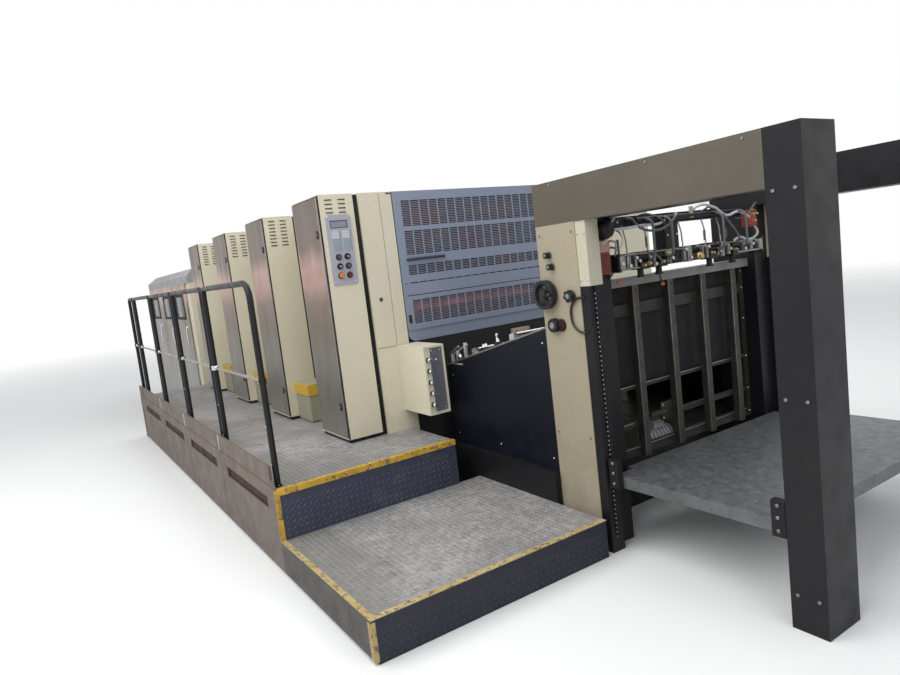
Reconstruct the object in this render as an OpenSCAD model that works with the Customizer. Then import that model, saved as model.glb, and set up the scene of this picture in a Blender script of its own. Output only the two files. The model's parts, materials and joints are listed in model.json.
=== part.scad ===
// Sheet-fed offset printing press: feeder, printing units in a row, chain delivery and gallery
// Origin on the floor, on the centre line, under the middle of the first unit
// +X runs towards the feeder, the operator's side is -Y, +Z is up

/* [Row of units] */
// Distance from one printing unit to the next
unit_pitch = 1200; // [1150:10:1300]
// Height of the printing units above the floor
unit_top = 2170; // [2100:10:2300]
// Length of a unit above the footboard between two units
tower_len = 850; // [780:10:900]
// Height of the footboard between two units
footboard_z = 800; // [700:10:860]
// Distance from the centre line to the faces of the operator's columns
press_half_w = 1580; // [1560:10:1650]
// Distance from the centre line to the faces of the side frames
frame_half_w = 1031; // [980:1:1035]
// Seam between the covers of two units
unit_seam = 4; // [2:1:6]
// Height of the slanted rear edge of a tower
tower_chamfer_h = 220; // [150:10:260]
// Length of the slanted rear edge of a tower
tower_chamfer_len = 140; // [100:10:180]
// Width of the finger grips in the drive side's doors
pull_w = 30; // [24:1:40]
// Height of those grips
pull_h = 130; // [100:5:160]
// Width of the seams cut into the covers
groove_w = 6; // [4:1:8]
// Depth of the seams cut into the covers
groove_d = 8; // [4:1:12]
// Height of the seam across the covers
cover_seam_z = 1100; // [1000:10:1100]
// Width of the plain strip between a side cover's seam and the guard
cover_strip = 99; // [80:1:120]
// Plain margin around a seam or a sunk panel in a cover
cover_margin = 60; // [40:5:100]
// Thickness of the tread plates between two units
footboard_t = 6; // [4:1:10]

/* [Operator columns] */
// Length of a column along the press
col_len = 490; // [440:10:520]
// Width of a column across the press
col_w = 255; // [240:5:280]
// Thickness of a column's sheet walls
col_wall = 20; // [12:1:25]
// Dark gap between a column and the side cover behind it
col_gap = 40; // [30:5:50]
// Distance from a column's outer face to the black strip in the gap behind it
strip_in = 18; // [10:1:30]
// Width of that strip
strip_w = 42; // [30:1:50]
// How far a column's plinth stands back
plinth_set = 10; // [6:1:16]
// Length of the lip that the end cover wraps round the corner
col_lip = 8; // [6:1:40]
// Height of the black plinth under a column
plinth_h = 25; // [15:1:40]
// Height of the cap above a column door and of the sill under it
door_rail = 6; // [4:1:30]
// Thickness of a column door
door_t = 20; // [15:1:24]
// Running gap around a column door
door_gap = 6; // [5:1:10]
// Radius of a door's hinge pins
pin_r = 5; // [4:0.5:6]
// Length of a hinge pin inside the door
pin_len = 30; // [20:1:40]
// Gap between a hinge pin and its bore
pin_clear = 0.3; // [0.2:0.1:0.5]
// Radius of a round door lock
lock_r = 12; // [8:1:16]
// How far a door lock stands out
lock_h = 6; // [4:1:10]
// Distance from a column's outer face to the door locks
lock_in = 70; // [60:1:90]
// Height of the lower door lock
lock_z0 = 740; // [700:5:800]
// Height of the upper door lock
lock_z1 = 1915; // [1850:5:1950]

/* [Vents] */
// Width of one vent slot
vent_w = 56; // [40:1:60]
// Height of one vent slot
vent_h = 10; // [6:1:14]
// Distance from a column's outer face to the first vent
vent_inset = 48; // [40:1:55]
// Distance from one vent to the one beside it
vent_step = 95; // [90:1:100]
// Distance from the top of a column to the first vent
vent_drop = 32; // [25:1:60]
// Distance between vent rows
vent_pitch = 28; // [24:1:34]
// Depth of a vent slot
vent_depth = 12; // [6:1:15]
// Rows of vents above the control panel
vent_rows_panel = 4; // [2:1:5]
// Rows of vents on the other columns
vent_rows = 8; // [4:1:12]

/* [Control panel] */
// Width of the control panel
panel_w = 180; // [160:5:205]
// Height of the control panel
panel_h = 466; // [420:2:520]
// Height of the panel's lower edge above the floor
panel_z = 1568; // [1500:1:1570]
// Thickness of the panel plate
panel_t = 8; // [5:1:12]
// Radius of the panel's corners
panel_corner_r = 18; // [8:1:30]
// Radius of a push button
button_r = 17; // [12:1:20]
// Height of a push button
button_h = 16; // [10:1:25]
// Distance between two push buttons side by side
button_pitch = 62; // [50:1:64]
// Distance between two push buttons one above the other
button_rise = 62; // [42:1:66]
// Height of the lowest push button above the panel's lower edge
button_z = 62; // [30:1:70]
// Width of the display in the control panel
screen_w = 116; // [90:1:140]
// Height of the display
screen_h = 42; // [30:1:50]
// Distance from the panel's top edge to the display
screen_drop = 42; // [30:1:60]
// Depth of the display's recess
screen_d = 4; // [2:1:6]

/* [Guards] */
// Depth of a guard's folded edge
guard_t = 25; // [18:1:30]
// Thickness of a guard's slotted sheet
sheet_t = 5; // [3:0.5:8]
// Width of a guard's folded edge
guard_edge = 20; // [15:1:24]
// Height of a guard's lower edge above the floor
guard_z = 1105; // [1050:5:1110]
// Radius of a guard's lower corners
guard_corner_r = 60; // [30:5:80]
// Gap between a guard and the side covers
guard_gap = 8; // [5:1:12]
// Width of one column of slots in a guard
slot_w = 68; // [60:1:70]
// Distance from one column of slots to the next
slot_pitch = 77; // [76:1:84]
// Number of slot columns in a guard
slot_cols = 25; // [10:1:25]
// Height of one slot in a guard
slot_h = 7; // [6:0.2:8]
// Distance from one row of slots to the next
row_pitch = 12.4; // [12:0.1:14]
// Depth of the slats that part the rows of slots
slat_t = 5; // [4:1:10]
// Height of the seam between a guard's upper and lower part
guard_seam_z = 1428; // [1415:1:1440]
// Depth of that seam
guard_seam_d = 3; // [1:0.5:4]
// Height of the ledge along a guard's foot
ledge_z = 1186; // [1170:1:1200]
// Height of the ledge's face
ledge_h = 12; // [8:1:20]
// How far the ledge stands out
ledge_out = 8; // [4:1:12]
// Distance from a guard's end to its handle
handle_inset = 66; // [50:1:90]
// Length of the guard's handle
handle_len = 300; // [200:10:400]
// Height of the guard's handle above the floor
handle_z = 1688; // [1670:1:1700]
// Radius of the guard's handle
handle_r = 9; // [6:1:12]
// How far the handle's axis stands in front of the guard
handle_out = 24; // [20:1:40]
// Radius of the bends at the handle's ends
handle_bend = 15; // [13:1:18]

/* [Rollers behind the guards] */
// Depth of the space behind a guard
bay_depth = 200; // [160:10:240]
// Thickness of the frame around the space behind a guard
bay_side = 40; // [30:5:60]
// Depth of the panels sunk into a tower's back
back_d = 10; // [6:1:15]
// Radius of a roller's journal
journal_r = 18; // [10:1:24]
// Length of a roller's journal
journal_len = 35; // [20:1:50]
// Gap between a journal's end and the side frame
journal_clear = 0.3; // [0.2:0.1:1]

/* [Gallery] */
// Height of the gallery deck above the floor
deck_z = 490; // [450:5:520]
// Thickness of the deck plate
deck_t = 40; // [20:5:60]
// Distance from the column faces to the gallery's outer face
deck_out = 717; // [680:1:760]
// How far the deck runs past the first unit towards the feeder
deck_front = 558; // [500:2:600]
// How far the deck runs past the last unit's column
deck_rear = 410; // [350:5:480]
// Height of the lower step
step_z = 200; // [180:5:220]
// How far the lower step runs past the first unit
step_front = 1690; // [1500:10:1720]
// Thickness of riser plates
riser_t = 12; // [6:1:20]
// How far the first riser runs past the column faces towards the centre line
nose_len = 490; // [450:5:520]
// Width of the yellow edge strips
edge_w = 30; // [20:1:40]
// Thickness of the yellow edge strips
edge_t = 4; // [2:1:6]
// Height of the toe board above the deck
toe_h = 135; // [100:5:150]
// Thickness of the skirt panels
skirt_t = 20; // [12:1:25]
// Height of the gap under the skirt panels
skirt_z = 20; // [10:1:40]
// Size of the chamfer where the toe board ends
toe_chamfer = 55; // [40:1:70]
// Depth of the fold along a skirt panel at deck height
fold_d = 4; // [2:1:6]
// Gap between two skirt panels
skirt_gap = 8; // [4:1:15]
// Depth of the grip slots in the skirt panels
grip_d = 12; // [8:1:15]
// Length of the grip slot in a skirt panel
grip_len = 900; // [600:10:1000]
// Height of the grip slot
grip_h = 70; // [40:5:90]
// Height of the grip slot's lower edge above the floor
grip_z = 360; // [320:5:370]
// Thickness of the ribs under the deck
rib_t = 40; // [20:5:60]
// Distance from one rib to the next
rib_pitch = 600; // [500:10:700]
// Distance from the ends of a deck to its first and last rib
rib_inset = 110; // [80:5:150]
// Distance from the ribs to the skirt and to the press
rib_gap = 40; // [20:5:60]

/* [Handrails] */
// Outer radius of the rail tube
rail_r = 18; // [15:1:25]
// Height of the rail's axis above the deck
rail_h = 1160; // [1000:10:1200]
// Distance from one rail section to the next
rail_pitch = 1165; // [1130:5:1180]
// Gap between the posts of two sections
rail_gap = 75; // [60:5:100]
// Distance from the deck's front edge to the first post
rail_inset = 83; // [60:1:120]
// Distance from the gallery's outer face to the rail's axis
rail_side = 54; // [50:1:80]
// Radius of the collar at a post's foot
collar_r = 24; // [22:1:28]
// Height of the collar
collar_h = 10; // [6:1:16]
// Radius of the clamp that holds the middle rod
clamp_r = 23; // [21:1:28]
// Height of the clamp
clamp_h = 30; // [28:1:60]
// Distance from a post's axis to the end of its clamp's socket
socket_x = 38; // [34:1:50]
// Radius of that socket
socket_r = 13; // [11:1:16]
// Bend radius at the first post
bend_big = 95; // [60:5:140]
// Bend radius at the other posts
bend_small = 42; // [30:1:55]
// Height of the middle rod above the deck
rod_h = 610; // [500:10:700]
// Radius of the middle rod
rod_r = 9; // [6:1:10]
// Number of full rail sections
rail_count = 4; // [2:1:4]
// Length of the short last rail section
rail_last = 320; // [260:10:340]

/* [Alcove steps] */
// Length of a step between two columns
foot_len = 300; // [240:10:350]
// Distance from the column faces to the step's face
foot_set = 80; // [60:5:120]
// Height of the yellow band on the step
foot_band = 90; // [60:5:100]
// Thickness of the yellow band
foot_band_t = 6; // [4:1:10]
// Height of the step's recessed foot
foot_toe = 12; // [8:1:60]
// Depth of the step's recessed foot
foot_recess = 10; // [6:1:50]

/* [Side control box] */
// How far the control box reaches towards the feeder
box_len = 360; // [300:10:400]
// Distance from the control box to the feed table's side panel
box_gap = 90; // [60:5:120]
// Width of the rim around the box's face
box_rim = 12; // [8:1:20]
// Depth of the box's face behind its rim
box_recess = 8; // [4:1:12]
// Width of the control box
box_w = 160; // [140:5:200]
// Height of the control box
box_h = 466; // [380:2:480]
// Height of the box's lower edge above the floor
box_z = 632; // [600:1:640]
// Number of setting knobs in a column
knob_count = 5; // [3:1:6]
// Radius of a setting knob
knob_r = 14; // [10:1:18]
// Length of a setting knob
knob_len = 38; // [20:1:45]
// Distance from the box's side to the setting knobs
knob_inset = 32; // [28:1:40]
// Height of the lowest setting knob above the box's lower edge
knob_rise = 70; // [50:1:80]
// Distance between setting knobs
knob_pitch = 76; // [60:1:84]

/* [Feed table] */
// Distance from the first unit to the feed table's side panels
feed_start = 240; // [200:10:300]
// Height of the feed table where it meets the first unit
feed_low = 925; // [880:5:960]
// Slope of the feed table in degrees
feed_slope = 14.5; // [12:0.5:17]
// Thickness of the side panels
feed_side_t = 20; // [12:1:30]
// Half the width of the feed board
feed_board_half = 600; // [540:10:620]
// Thickness of the feed board
feed_board_t = 30; // [20:1:40]
// Number of tapes on the feed board
tape_count = 5; // [3:1:7]
// Distance between two tapes
tape_pitch = 230; // [180:5:260]
// Width of a tape
tape_w = 60; // [40:5:80]
// Thickness of a tape
tape_t = 4; // [3:1:6]
// Radius of the cross bars that carry the feed board
bar_r = 24; // [18:1:30]
// Distance from the ends of the feed board to its cross bars
bar_inset = 130; // [100:5:160]
// Radius of the rods above the feed board
hold_r = 10; // [8:1:14]
// Radius of the wheels that run on the tapes
hold_wheel_r = 32; // [26:1:40]
// Width of those wheels
hold_wheel_w = 22; // [16:1:30]
// Distance from the feed table's ends to the two rods
hold_inset = 330; // [250:5:380]
// Half the length of a rod's foot
hold_foot = 22; // [16:1:30]
// Width of the rail along the top of a side panel
panel_rail_w = 46; // [30:1:60]
// Thickness of that rail
panel_rail_t = 10; // [6:1:14]
// Height of the dark base under the feed table
base_z = 380; // [340:10:420]
// Half the width of the base under the feed table
base_half_w = 920; // [900:10:960]

/* [Feeder] */
// Distance from the first unit to the feeder
feeder_gap = 1320; // [1250:10:1400]
// Height of the feeder
feeder_top = 1988; // [1900:1:2050]
// Height of the header beams
header_h = 225; // [200:5:260]
// Length of the feeder's front columns along the press
fcol_len = 300; // [260:10:340]
// Length of the header beams
header_len = 1338; // [1250:1:1450]
// Distance from the centre line to the feeder's outer faces
feeder_half_w = 880; // [860:10:900]
// Width of a column and of a header beam across the press, with the black frame inside
fcol_w = 230; // [200:10:250]
// Width of their cream covers
cover_w = 95; // [92:1:110]
// Length of the rear posts along the press
rear_post_len = 150; // [120:10:180]
// Depth of a chain post
chain_post_d = 60; // [50:5:80]
// Width of a chain post
chain_post_w = 90; // [70:5:110]
// Height of the light cover on a chain post's upper part
chain_cover_h = 335; // [300:5:450]
// Distance from a chain post to the feeder's outer face
chain_post_in = 5; // [3:1:10]

/* [Pile hoist] */
// Height of the pile table's top when it is down
pile_z = 425; // [380:5:450]
// Thickness of the pile table
pile_t = 60; // [40:5:80]
// Half the width of the pile table
pile_half_w = 830; // [800:5:840]
// Clearance between the pile table and what stands round it
pile_clear = 12; // [8:1:20]
// Gap between a lifting lug and its chain
lug_gap = 0.3; // [0.2:0.1:0.5]
// How far a lifting lug stands out beside the pile table
lug_out = 35; // [25:1:40]
// Length of a lifting lug along the press
lug_len = 60; // [40:5:80]
// Height of a lifting lug
lug_h = 155; // [120:5:160]
// Width of a hoist chain
chain_w = 22; // [16:1:30]
// Thickness of a hoist chain
chain_t = 12; // [8:1:16]
// Distance from one pin of a chain to the next
link_pitch = 25; // [20:1:32]
// Height of the chains' lower ends above the floor
chain_z0 = 80; // [50:5:120]
// How far the pile table reaches in between the front chain posts
pile_nose = 44; // [20:1:60]
// Distance from the middle part of the pile table to the chain posts
nose_clear = 90; // [50:5:120]
// Width of a beam under the pile table
under_w = 120; // [80:5:160]
// Height of a beam under the pile table
under_h = 60; // [40:5:100]
// Distance from the pile table's ends to the beams under it
under_inset = 120; // [100:5:200]

/* [Pile front wall] */
// Distance from the feeder's front to the wall's face
wall_set = 180; // [150:5:200]
// Height of the wall's lower edge
wall_z = 400; // [380:5:420]
// Height of the wall's top beam
wall_top = 1435; // [1400:5:1460]
// Depth of the wall's beams
wall_t = 25; // [15:1:40]
// Height of the wall's top beam
wall_beam_h = 50; // [40:1:80]
// How far the top beam stands out in front of the wall
wall_ledge = 45; // [30:1:60]
// Width of the wall's end uprights
wall_side_w = 45; // [30:1:60]
// Thickness of the wall's gloss panel
wall_panel_t = 8; // [5:1:12]
// Number of guide bars
bar_count = 4; // [2:1:4]
// Distance from the centre line to the middle of the row of guide bars
bar_shift = 38; // [0:1:60]
// Distance between guide bars
bar_pitch = 300; // [280:5:310]
// Width of a guide bar
bar_w = 44; // [30:1:50]
// Depth of a guide bar
bar_d = 45; // [30:5:60]
// Thickness of a guide bar's flange and web
bar_t = 8; // [5:1:10]

/* [Hoist motor] */
// Radius of the hoist motor
motor_r = 48; // [40:1:60]
// Length of the hoist motor
motor_len = 190; // [150:5:240]
// Distance from the centre line to the motor's inner end
motor_in = 110; // [80:5:140]
// Number of cooling ribs on the motor
motor_ribs = 7; // [4:1:10]
// Thickness of a cooling rib
motor_rib_t = 8; // [5:1:12]
// Height of a cooling rib
motor_rib_h = 8; // [5:1:12]

/* [Suction head] */
// Distance from the feeder's front to the suction head's beam
head_set = 300; // [280:5:320]
// Depth of the beam
head_beam_w = 60; // [50:5:80]
// Height of the beam
head_beam_h = 55; // [40:5:60]
// Width of the middle post
head_post_w = 110; // [80:5:120]
// Distance from the centre line to the middle post
head_post_in = 127; // [110:1:140]
// Depth of the middle post
head_post_d = 85; // [70:5:100]
// Height of the middle post
head_post_h = 285; // [250:5:300]
// Height of the slide rods above the wall's top beam
rod_rise = 65; // [50:1:80]
// Distance from the lower slide rod to the upper one
rod_gap = 40; // [30:1:50]
// Radius of the slide rods
slide_r = 12; // [10:1:16]
// Width of a sucker's carrier
carrier_w = 70; // [50:5:80]
// Height of a sucker's carrier
carrier_h = 96; // [80:2:120]
// Radius of a sucker's stem
sucker_r = 17; // [12:1:20]
// How far a sucker reaches below its carrier
sucker_drop = 42; // [30:1:50]
// Radius of a sucker's cup
cup_r = 22; // [18:1:26]
// Height of a sucker's cup
cup_h = 10; // [6:1:14]
// Thickness of the plates that hold the slide rods
rod_plate_t = 20; // [14:1:26]
// Depth of the bar behind the carriers
back_bar_d = 35; // [25:5:45]
// Height of that bar
back_bar_h = 90; // [70:5:94]
// Radius of the round motor on the frame beside the suction head
head_motor_r = 48; // [40:1:49]
// Length of that motor
head_motor_len = 90; // [70:5:110]
// Distance from the frame's inner edge to the motor's axis
head_motor_out = 85; // [84:1:86]
// Distance from the header to the motor
head_motor_drop = 12; // [6:1:20]
// Thickness of the motor's cooling ribs and of the gaps between them
head_rib_t = 9; // [8:0.5:10]
// Height of those ribs
head_rib_h = 4; // [3:1:6]
// Radius of the hose rail
hose_rail_r = 14; // [10:1:18]
// Half the length of the hose rail
hose_rail_half = 430; // [400:10:460]
// Distance from the beam's middle to the hose rail
hose_rail_out = 70; // [50:5:90]
// Radius of a hose
hose_r = 7; // [5:0.5:9]
// Radius of a hose's bends
hose_bend = 42; // [36:1:50]
// Depth of the valve block on the beam
valve_d = 50; // [40:5:60]
// Width of the valve block
valve_w = 80; // [60:5:100]
// Height of the valve block
valve_h = 100; // [80:5:120]
// Height of the valve pack beside the suction head
pack_h = 178; // [160:1:180]
// Radius of a hose nipple
nipple_r = 9; // [8:0.5:12]
// Length of a hose nipple
nipple_len = 14; // [10:1:20]

/* [Column fittings] */
// Radius of the black handwheel
wheel_r = 80; // [60:5:90]
// Thickness of the handwheel's rim
wheel_t = 32; // [24:1:40]
// Thickness of the handwheel's web
web_t = 12; // [8:1:18]
// Width of the handwheel's rim
rim_w = 18; // [12:1:24]
// Radius of the handwheel's hub
hub_r = 26; // [20:1:32]
// Distance from the column to the handwheel
wheel_out = 12; // [6:1:20]
// Length of the shaft inside the column
shaft_in = 60; // [50:1:80]
// Depth of the bore behind the shaft's end
bore_rest = 10; // [5:1:20]
// Distance from the feeder's front to the handwheel's axis
wheel_set = 55; // [40:1:80]
// Height of the handwheel's axis above the floor
wheel_z = 1395; // [1300:5:1500]
// Length of a knob on the column
col_knob_len = 34; // [24:1:44]
// Height of the collar behind such a knob
knob_collar = 8; // [5:1:12]
// How much narrower that collar is than its knob
knob_step = 8; // [6:1:10]
// Radius of the cable that loops out beside the column
loop_r = 6; // [5:0.5:8]
// Radius of the loop
loop_bend = 80; // [70:1:85]
// Radius of the bends at the loop's ends
loop_end_bend = 16; // [14:1:20]
// Height of the loop's upper end above the floor
loop_top = 1372; // [1360:1:1380]
// Distance from the loop's upper end to its lower end
loop_h = 182; // [175:1:200]
// Radius of the handwheel's shaft
shaft_r = 12; // [8:1:16]
// Running gap between the shaft and its bore
shaft_clear = 0.1; // [0.05:0.05:0.1]

/* [Delivery] */
// Length of the delivery
delivery_len = 3100; // [2800:50:3400]
// Height of the delivery
delivery_top = 1955; // [1850:5:2050]
// Distance from the column faces to the delivery's side
delivery_set = 70; // [50:5:100]
// Length of the delivery's pile bay
bay_len = 1150; // [1000:10:1250]
// Half the width of the pile bay
bay_half_w = 640; // [580:10:700]
// Height of the pile bay
bay_h = 1150; // [900:10:1250]
// Thickness of the stainless side panels
side_panel_t = 15; // [10:1:20]
// Number of stainless panels on a side
side_panels = 3; // [2:1:4]
// Gap between two side panels
side_panel_gap = 6; // [4:1:10]
// Height of the gap under the side panels
side_panel_z = 60; // [40:5:100]
// Width of the cream end strip beside the side panels
end_strip = 200; // [150:10:300]
// Height of the delivery's hood
hood_h = 180; // [120:5:240]
// Size of the chamfers along the hood
hood_chamfer = 90; // [60:5:110]
// Length of the slope at the hood's far end
hood_slope = 300; // [200:10:400]

/* [Hidden] */
$fn = 48;
unit_count = 4;
units = [1 : unit_count];
eps = 0.01;
front_x = unit_pitch / 2;
function unit_x(n) = front_x - (n - 1) * unit_pitch;
cream = [0.84, 0.81, 0.70];
steel = [0.62, 0.58, 0.55];
slate = [0.42, 0.48, 0.56];
black = [0.07, 0.07, 0.08];
dark = [0.14, 0.15, 0.18];
tread = [0.28, 0.30, 0.36];
yellow = [0.80, 0.62, 0.12];
grey = [0.45, 0.45, 0.45];
skirt_colour = [0.40, 0.35, 0.31];
lilac = [0.62, 0.62, 0.70];

deck_edge_y = -press_half_w - deck_out;
col_back_y = -press_half_w + col_w;
cover_y = col_back_y + col_gap;
col_z0 = deck_z + plinth_h;
hinge_r = door_t / 2;
hinge_inset = hinge_r + 2;
door_free = col_len - hinge_inset - col_lip - door_gap;
door_z0 = col_z0 + door_rail + door_gap;
door_z1 = unit_top - door_rail - door_gap;
col_body_y = -press_half_w + door_t + door_gap;
vent_top = unit_top - vent_drop;
band_rows = [[1923, 15], [1721, 14], [1577, 6], [1516, 1], [1229, 14]];
guard_half_w = frame_half_w - guard_gap;
bay_y = frame_half_w - bay_side;
function rows_h(rows) = (rows - 1) * row_pitch + slot_h;
slots_half_w = slot_cols * slot_pitch / 2;
cover_seam_y = -frame_half_w - cover_strip;
deck_x1 = front_x + deck_front;
deck_x0 = unit_x(unit_count) - col_len - deck_rear;
deck_inner_y = cover_y;
box_y = -feeder_half_w - box_gap - box_w;
deck_nose_y = -press_half_w + nose_len;
feed_x0 = front_x + feed_start;
feeder_x0 = front_x + feeder_gap;
fcol_x1 = feeder_x0 + fcol_len;
header_x1 = feeder_x0 + header_len;
header_z = feeder_top - header_h;
rear_x1 = header_x1 + rear_post_len;
chain_x0 = fcol_x1 + chain_post_d;
pile_x0 = chain_x0 + chain_t + pile_clear;
pile_x1 = header_x1 - chain_t - pile_clear;
chain_y = feeder_half_w - chain_post_w / 2 - chain_post_in;
pile_nose_y = chain_y - chain_post_w / 2 - nose_clear;
chain_top = header_z - chain_cover_h;
post_y = -chain_y - chain_post_w / 2;
cover_in_y = -feeder_half_w + cover_w;
wall_x = feeder_x0 + wall_set;
wall_rails = [[wall_z, 55], [570, 30], [790, 25], [1217, 65]];
wall_inner = feeder_half_w - fcol_w;
wheel_x = feeder_x0 + wheel_set;
column_face_y = -feeder_half_w;
head_x = feeder_x0 + head_set;
slide_x = head_x + head_beam_w / 2;
rod_z0 = wall_top + rod_rise;
rod_z1 = rod_z0 + rod_gap;
rod_mid_z = (rod_z0 + rod_z1) / 2;
carrier_ys = [-450, -300, 150, 370];
hose_x = head_x + hose_rail_out + hose_rail_r + nipple_len;
hose_rail_z = header_z - head_beam_h / 2;
delivery_x1 = unit_x(unit_count) - unit_pitch + unit_seam;
delivery_x0 = delivery_x1 - delivery_len;
delivery_y = press_half_w - delivery_set;

unit_pieces = ["housing", "guard", "column", "door"];

// A box given by its two corners
module block(x0, x1, y0, y1, z0, z1) {
    translate([x0, y0, z0]) cube([x1 - x0, y1 - y0, z1 - z0]);
}

// A cylinder along X from x0 to x1
module rod_x(x0, x1, y, z, r) {
    translate([x0, y, z]) rotate([0, 90, 0]) cylinder(r = r, h = x1 - x0);
}

// A cylinder along Y from y0 to y1
module rod_y(x, y0, y1, z, r) {
    translate([x, y0, z]) rotate([-90, 0, 0]) cylinder(r = r, h = y1 - y0);
}

// An outline in X and Z pushed out along Y from y0 to y1
module slab_xz(points, y0, y1) {
    translate([0, y1, 0]) rotate([90, 0, 0]) linear_extrude(y1 - y0) polygon(points);
}

// An outline drawn in Y and Z, pushed out along X from x0 to x1
module slab_yz(x0, x1) {
    rotate([90, 0, 90]) translate([0, 0, x0]) linear_extrude(x1 - x0) children();
}

// A quarter bend of a round bar in the XZ plane, its centre at the origin
module quarter_bend(bend, r) {
    rotate([90, 0, 0]) rotate_extrude(angle = 90) translate([bend, 0]) circle(r = r);
}

// A flat outline with round corners
module rounded_outline(w, h, r) {
    translate([r, r]) {
        translate([-r, 0]) square([w, h - 2 * r]);
        translate([0, -r]) square([w - 2 * r, h]);
        for (x = [0, w - 2 * r], y = [0, h - 2 * r]) translate([x, y]) circle(r = r);
    }
}

// Side view of a unit, counted from its feeder-side face: a low body and the tower on it
unit_outline = [
    [-unit_pitch + unit_seam, 0], [0, 0], [0, unit_top], [-tower_len + tower_chamfer_len, unit_top],
    [-tower_len, unit_top - tower_chamfer_h], [-tower_len, footboard_z],
    [-unit_pitch + unit_seam, footboard_z]];

module unit_housing(n) {
    back_z1 = unit_top - tower_chamfer_h - cover_margin;
    color(grey) translate([unit_x(n), 0, 0]) difference() {
        slab_xz(unit_outline, -frame_half_w, frame_half_w);
        block(-guard_t, 1, -frame_half_w - 1, frame_half_w + 1, guard_z - guard_gap, unit_top + 1);
        block(-guard_t - bay_depth, 1, -bay_y, bay_y, guard_z + bay_side, unit_top - bay_side);
        for (s = [0, 1]) mirror([0, s, 0])
            block(-tower_len - 1, -tower_len + back_d, cover_margin / 2, bay_y,
                  footboard_z + cover_margin, back_z1);
    }
}

roller_rows = [[110, 1190, 45], [75, 1318, 60], [120, 1500, 48], [85, 1640, 52], [125, 1770, 45],
               [80, 1880, 50], [120, 2010, 48]];
module ink_rollers() {
    end_y = bay_y - journal_clear;
    color([0.35, 0.16, 0.13]) for (n = units, r = roller_rows) {
        x = unit_x(n) - guard_t - r[0];
        rod_y(x, -end_y + journal_len, end_y - journal_len, r[1], r[2]);
        rod_y(x, -end_y, end_y, r[1], journal_r);
    }
}

module guard_outline() {
    translate([-guard_half_w, guard_z]) {
        translate([0, guard_corner_r]) square([2 * guard_half_w, unit_top - guard_z - guard_corner_r]);
        translate([guard_corner_r, 0]) square([2 * (guard_half_w - guard_corner_r), guard_corner_r + eps]);
        for (x = [guard_corner_r, 2 * guard_half_w - guard_corner_r])
            translate([x, guard_corner_r]) circle(r = guard_corner_r);
    }
}

module guard_windows() {
    for (b = band_rows, i = [0 : slot_cols - 1])
        translate([(i - (slot_cols - 1) / 2) * slot_pitch - slot_w / 2, b[0]]) square([slot_w, rows_h(b[1])]);
}

// The handle, a bar bent back at both ends
module guard_handle() {
    y0 = -guard_half_w + handle_inset;
    rod_y(handle_out, y0 + handle_bend, y0 + handle_len - handle_bend, handle_z, handle_r);
    for (y = [y0, y0 + handle_len]) rod_x(-eps, handle_out - handle_bend, y, handle_z, handle_r);
    translate([handle_out - handle_bend, y0 + handle_len - handle_bend, handle_z])
        rotate_extrude(angle = 90) translate([handle_bend, 0]) circle(r = handle_r);
    translate([handle_out - handle_bend, y0 + handle_bend, handle_z]) mirror([0, 1, 0])
        rotate_extrude(angle = 90) translate([handle_bend, 0]) circle(r = handle_r);
}

// A guard: a sheet with folded edges, a window for every stack of slots, a ledge and a handle
module unit_guard(n) {
    rim_y = guard_half_w - guard_edge;
    color(slate) translate([unit_x(n), 0, 0]) {
        difference() {
            slab_yz(-guard_t, 0) guard_outline();
            block(-guard_t - 1, -sheet_t, -rim_y, rim_y, guard_z + guard_corner_r, unit_top - guard_edge);
            slab_yz(-guard_t - 1, 1) guard_windows();
            block(-guard_seam_d, 1, -guard_half_w - 1, guard_half_w + 1,
                  guard_seam_z, guard_seam_z + groove_w);
        }
        block(-eps, ledge_out, -guard_half_w, guard_half_w, ledge_z, ledge_z + ledge_h);
        guard_handle();
    }
}

// The slats that part the rows of slots, seated on the back of each guard's sheet
module guard_slats() {
    color(slate) for (n = units, b = band_rows) if (b[1] > 1) for (r = [0 : b[1] - 2]) {
        z = b[0] + r * row_pitch + slot_h;
        block(unit_x(n) - sheet_t - slat_t, unit_x(n) - sheet_t, -slots_half_w, slots_half_w,
              z, z + row_pitch - slot_h);
    }
}

module side_covers() {
    color(cream) for (n = units) translate([unit_x(n), 0, 0]) difference() {
        slab_xz(unit_outline, cover_y, -frame_half_w);
        block(-groove_d, 1, cover_seam_y, cover_seam_y + groove_w, cover_seam_z, unit_top + 1);
        block(-groove_d, 1, cover_y - 1, -frame_half_w + 1, cover_seam_z - groove_w, cover_seam_z);
    }
}

// The drive side's covers with the seams and finger grips of their doors
module drive_covers() {
    mid_x = -tower_len / 2;
    face_y = press_half_w - groove_d;
    color(cream) for (n = units) translate([unit_x(n), 0, 0]) difference() {
        slab_xz(unit_outline, frame_half_w, press_half_w);
        block(-unit_pitch, 1, face_y, press_half_w + 1, cover_seam_z - groove_w, cover_seam_z);
        block(mid_x, mid_x + groove_w, face_y, press_half_w + 1, cover_margin, unit_top - cover_margin);
        for (z = [cover_seam_z - cover_margin - pull_h, cover_seam_z + cover_margin],
             x = [mid_x - 2 * pull_w, mid_x + 2 * pull_w])
            block(x - pull_w / 2, x + pull_w / 2, face_y, press_half_w + 1, z, z + pull_h);
    }
}

module footboards() {
    color(tread) for (n = units)
        block(unit_x(n) - unit_pitch + unit_seam, unit_x(n) - tower_len, cover_y, press_half_w,
              footboard_z, footboard_z + footboard_t);
}

module column_vents(rows) {
    slab_yz(-vent_depth, 1) for (r = [0 : rows - 1], c = [0, 1])
        translate([-press_half_w + vent_inset + c * vent_step, vent_top - r * vent_pitch - vent_h])
            rounded_outline(vent_w, vent_h, vent_h / 2 - eps);
}

module hinge_pin_places(n) {
    translate([unit_x(n) - col_len + hinge_inset, -press_half_w + hinge_r, 0]) children();
}

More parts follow.
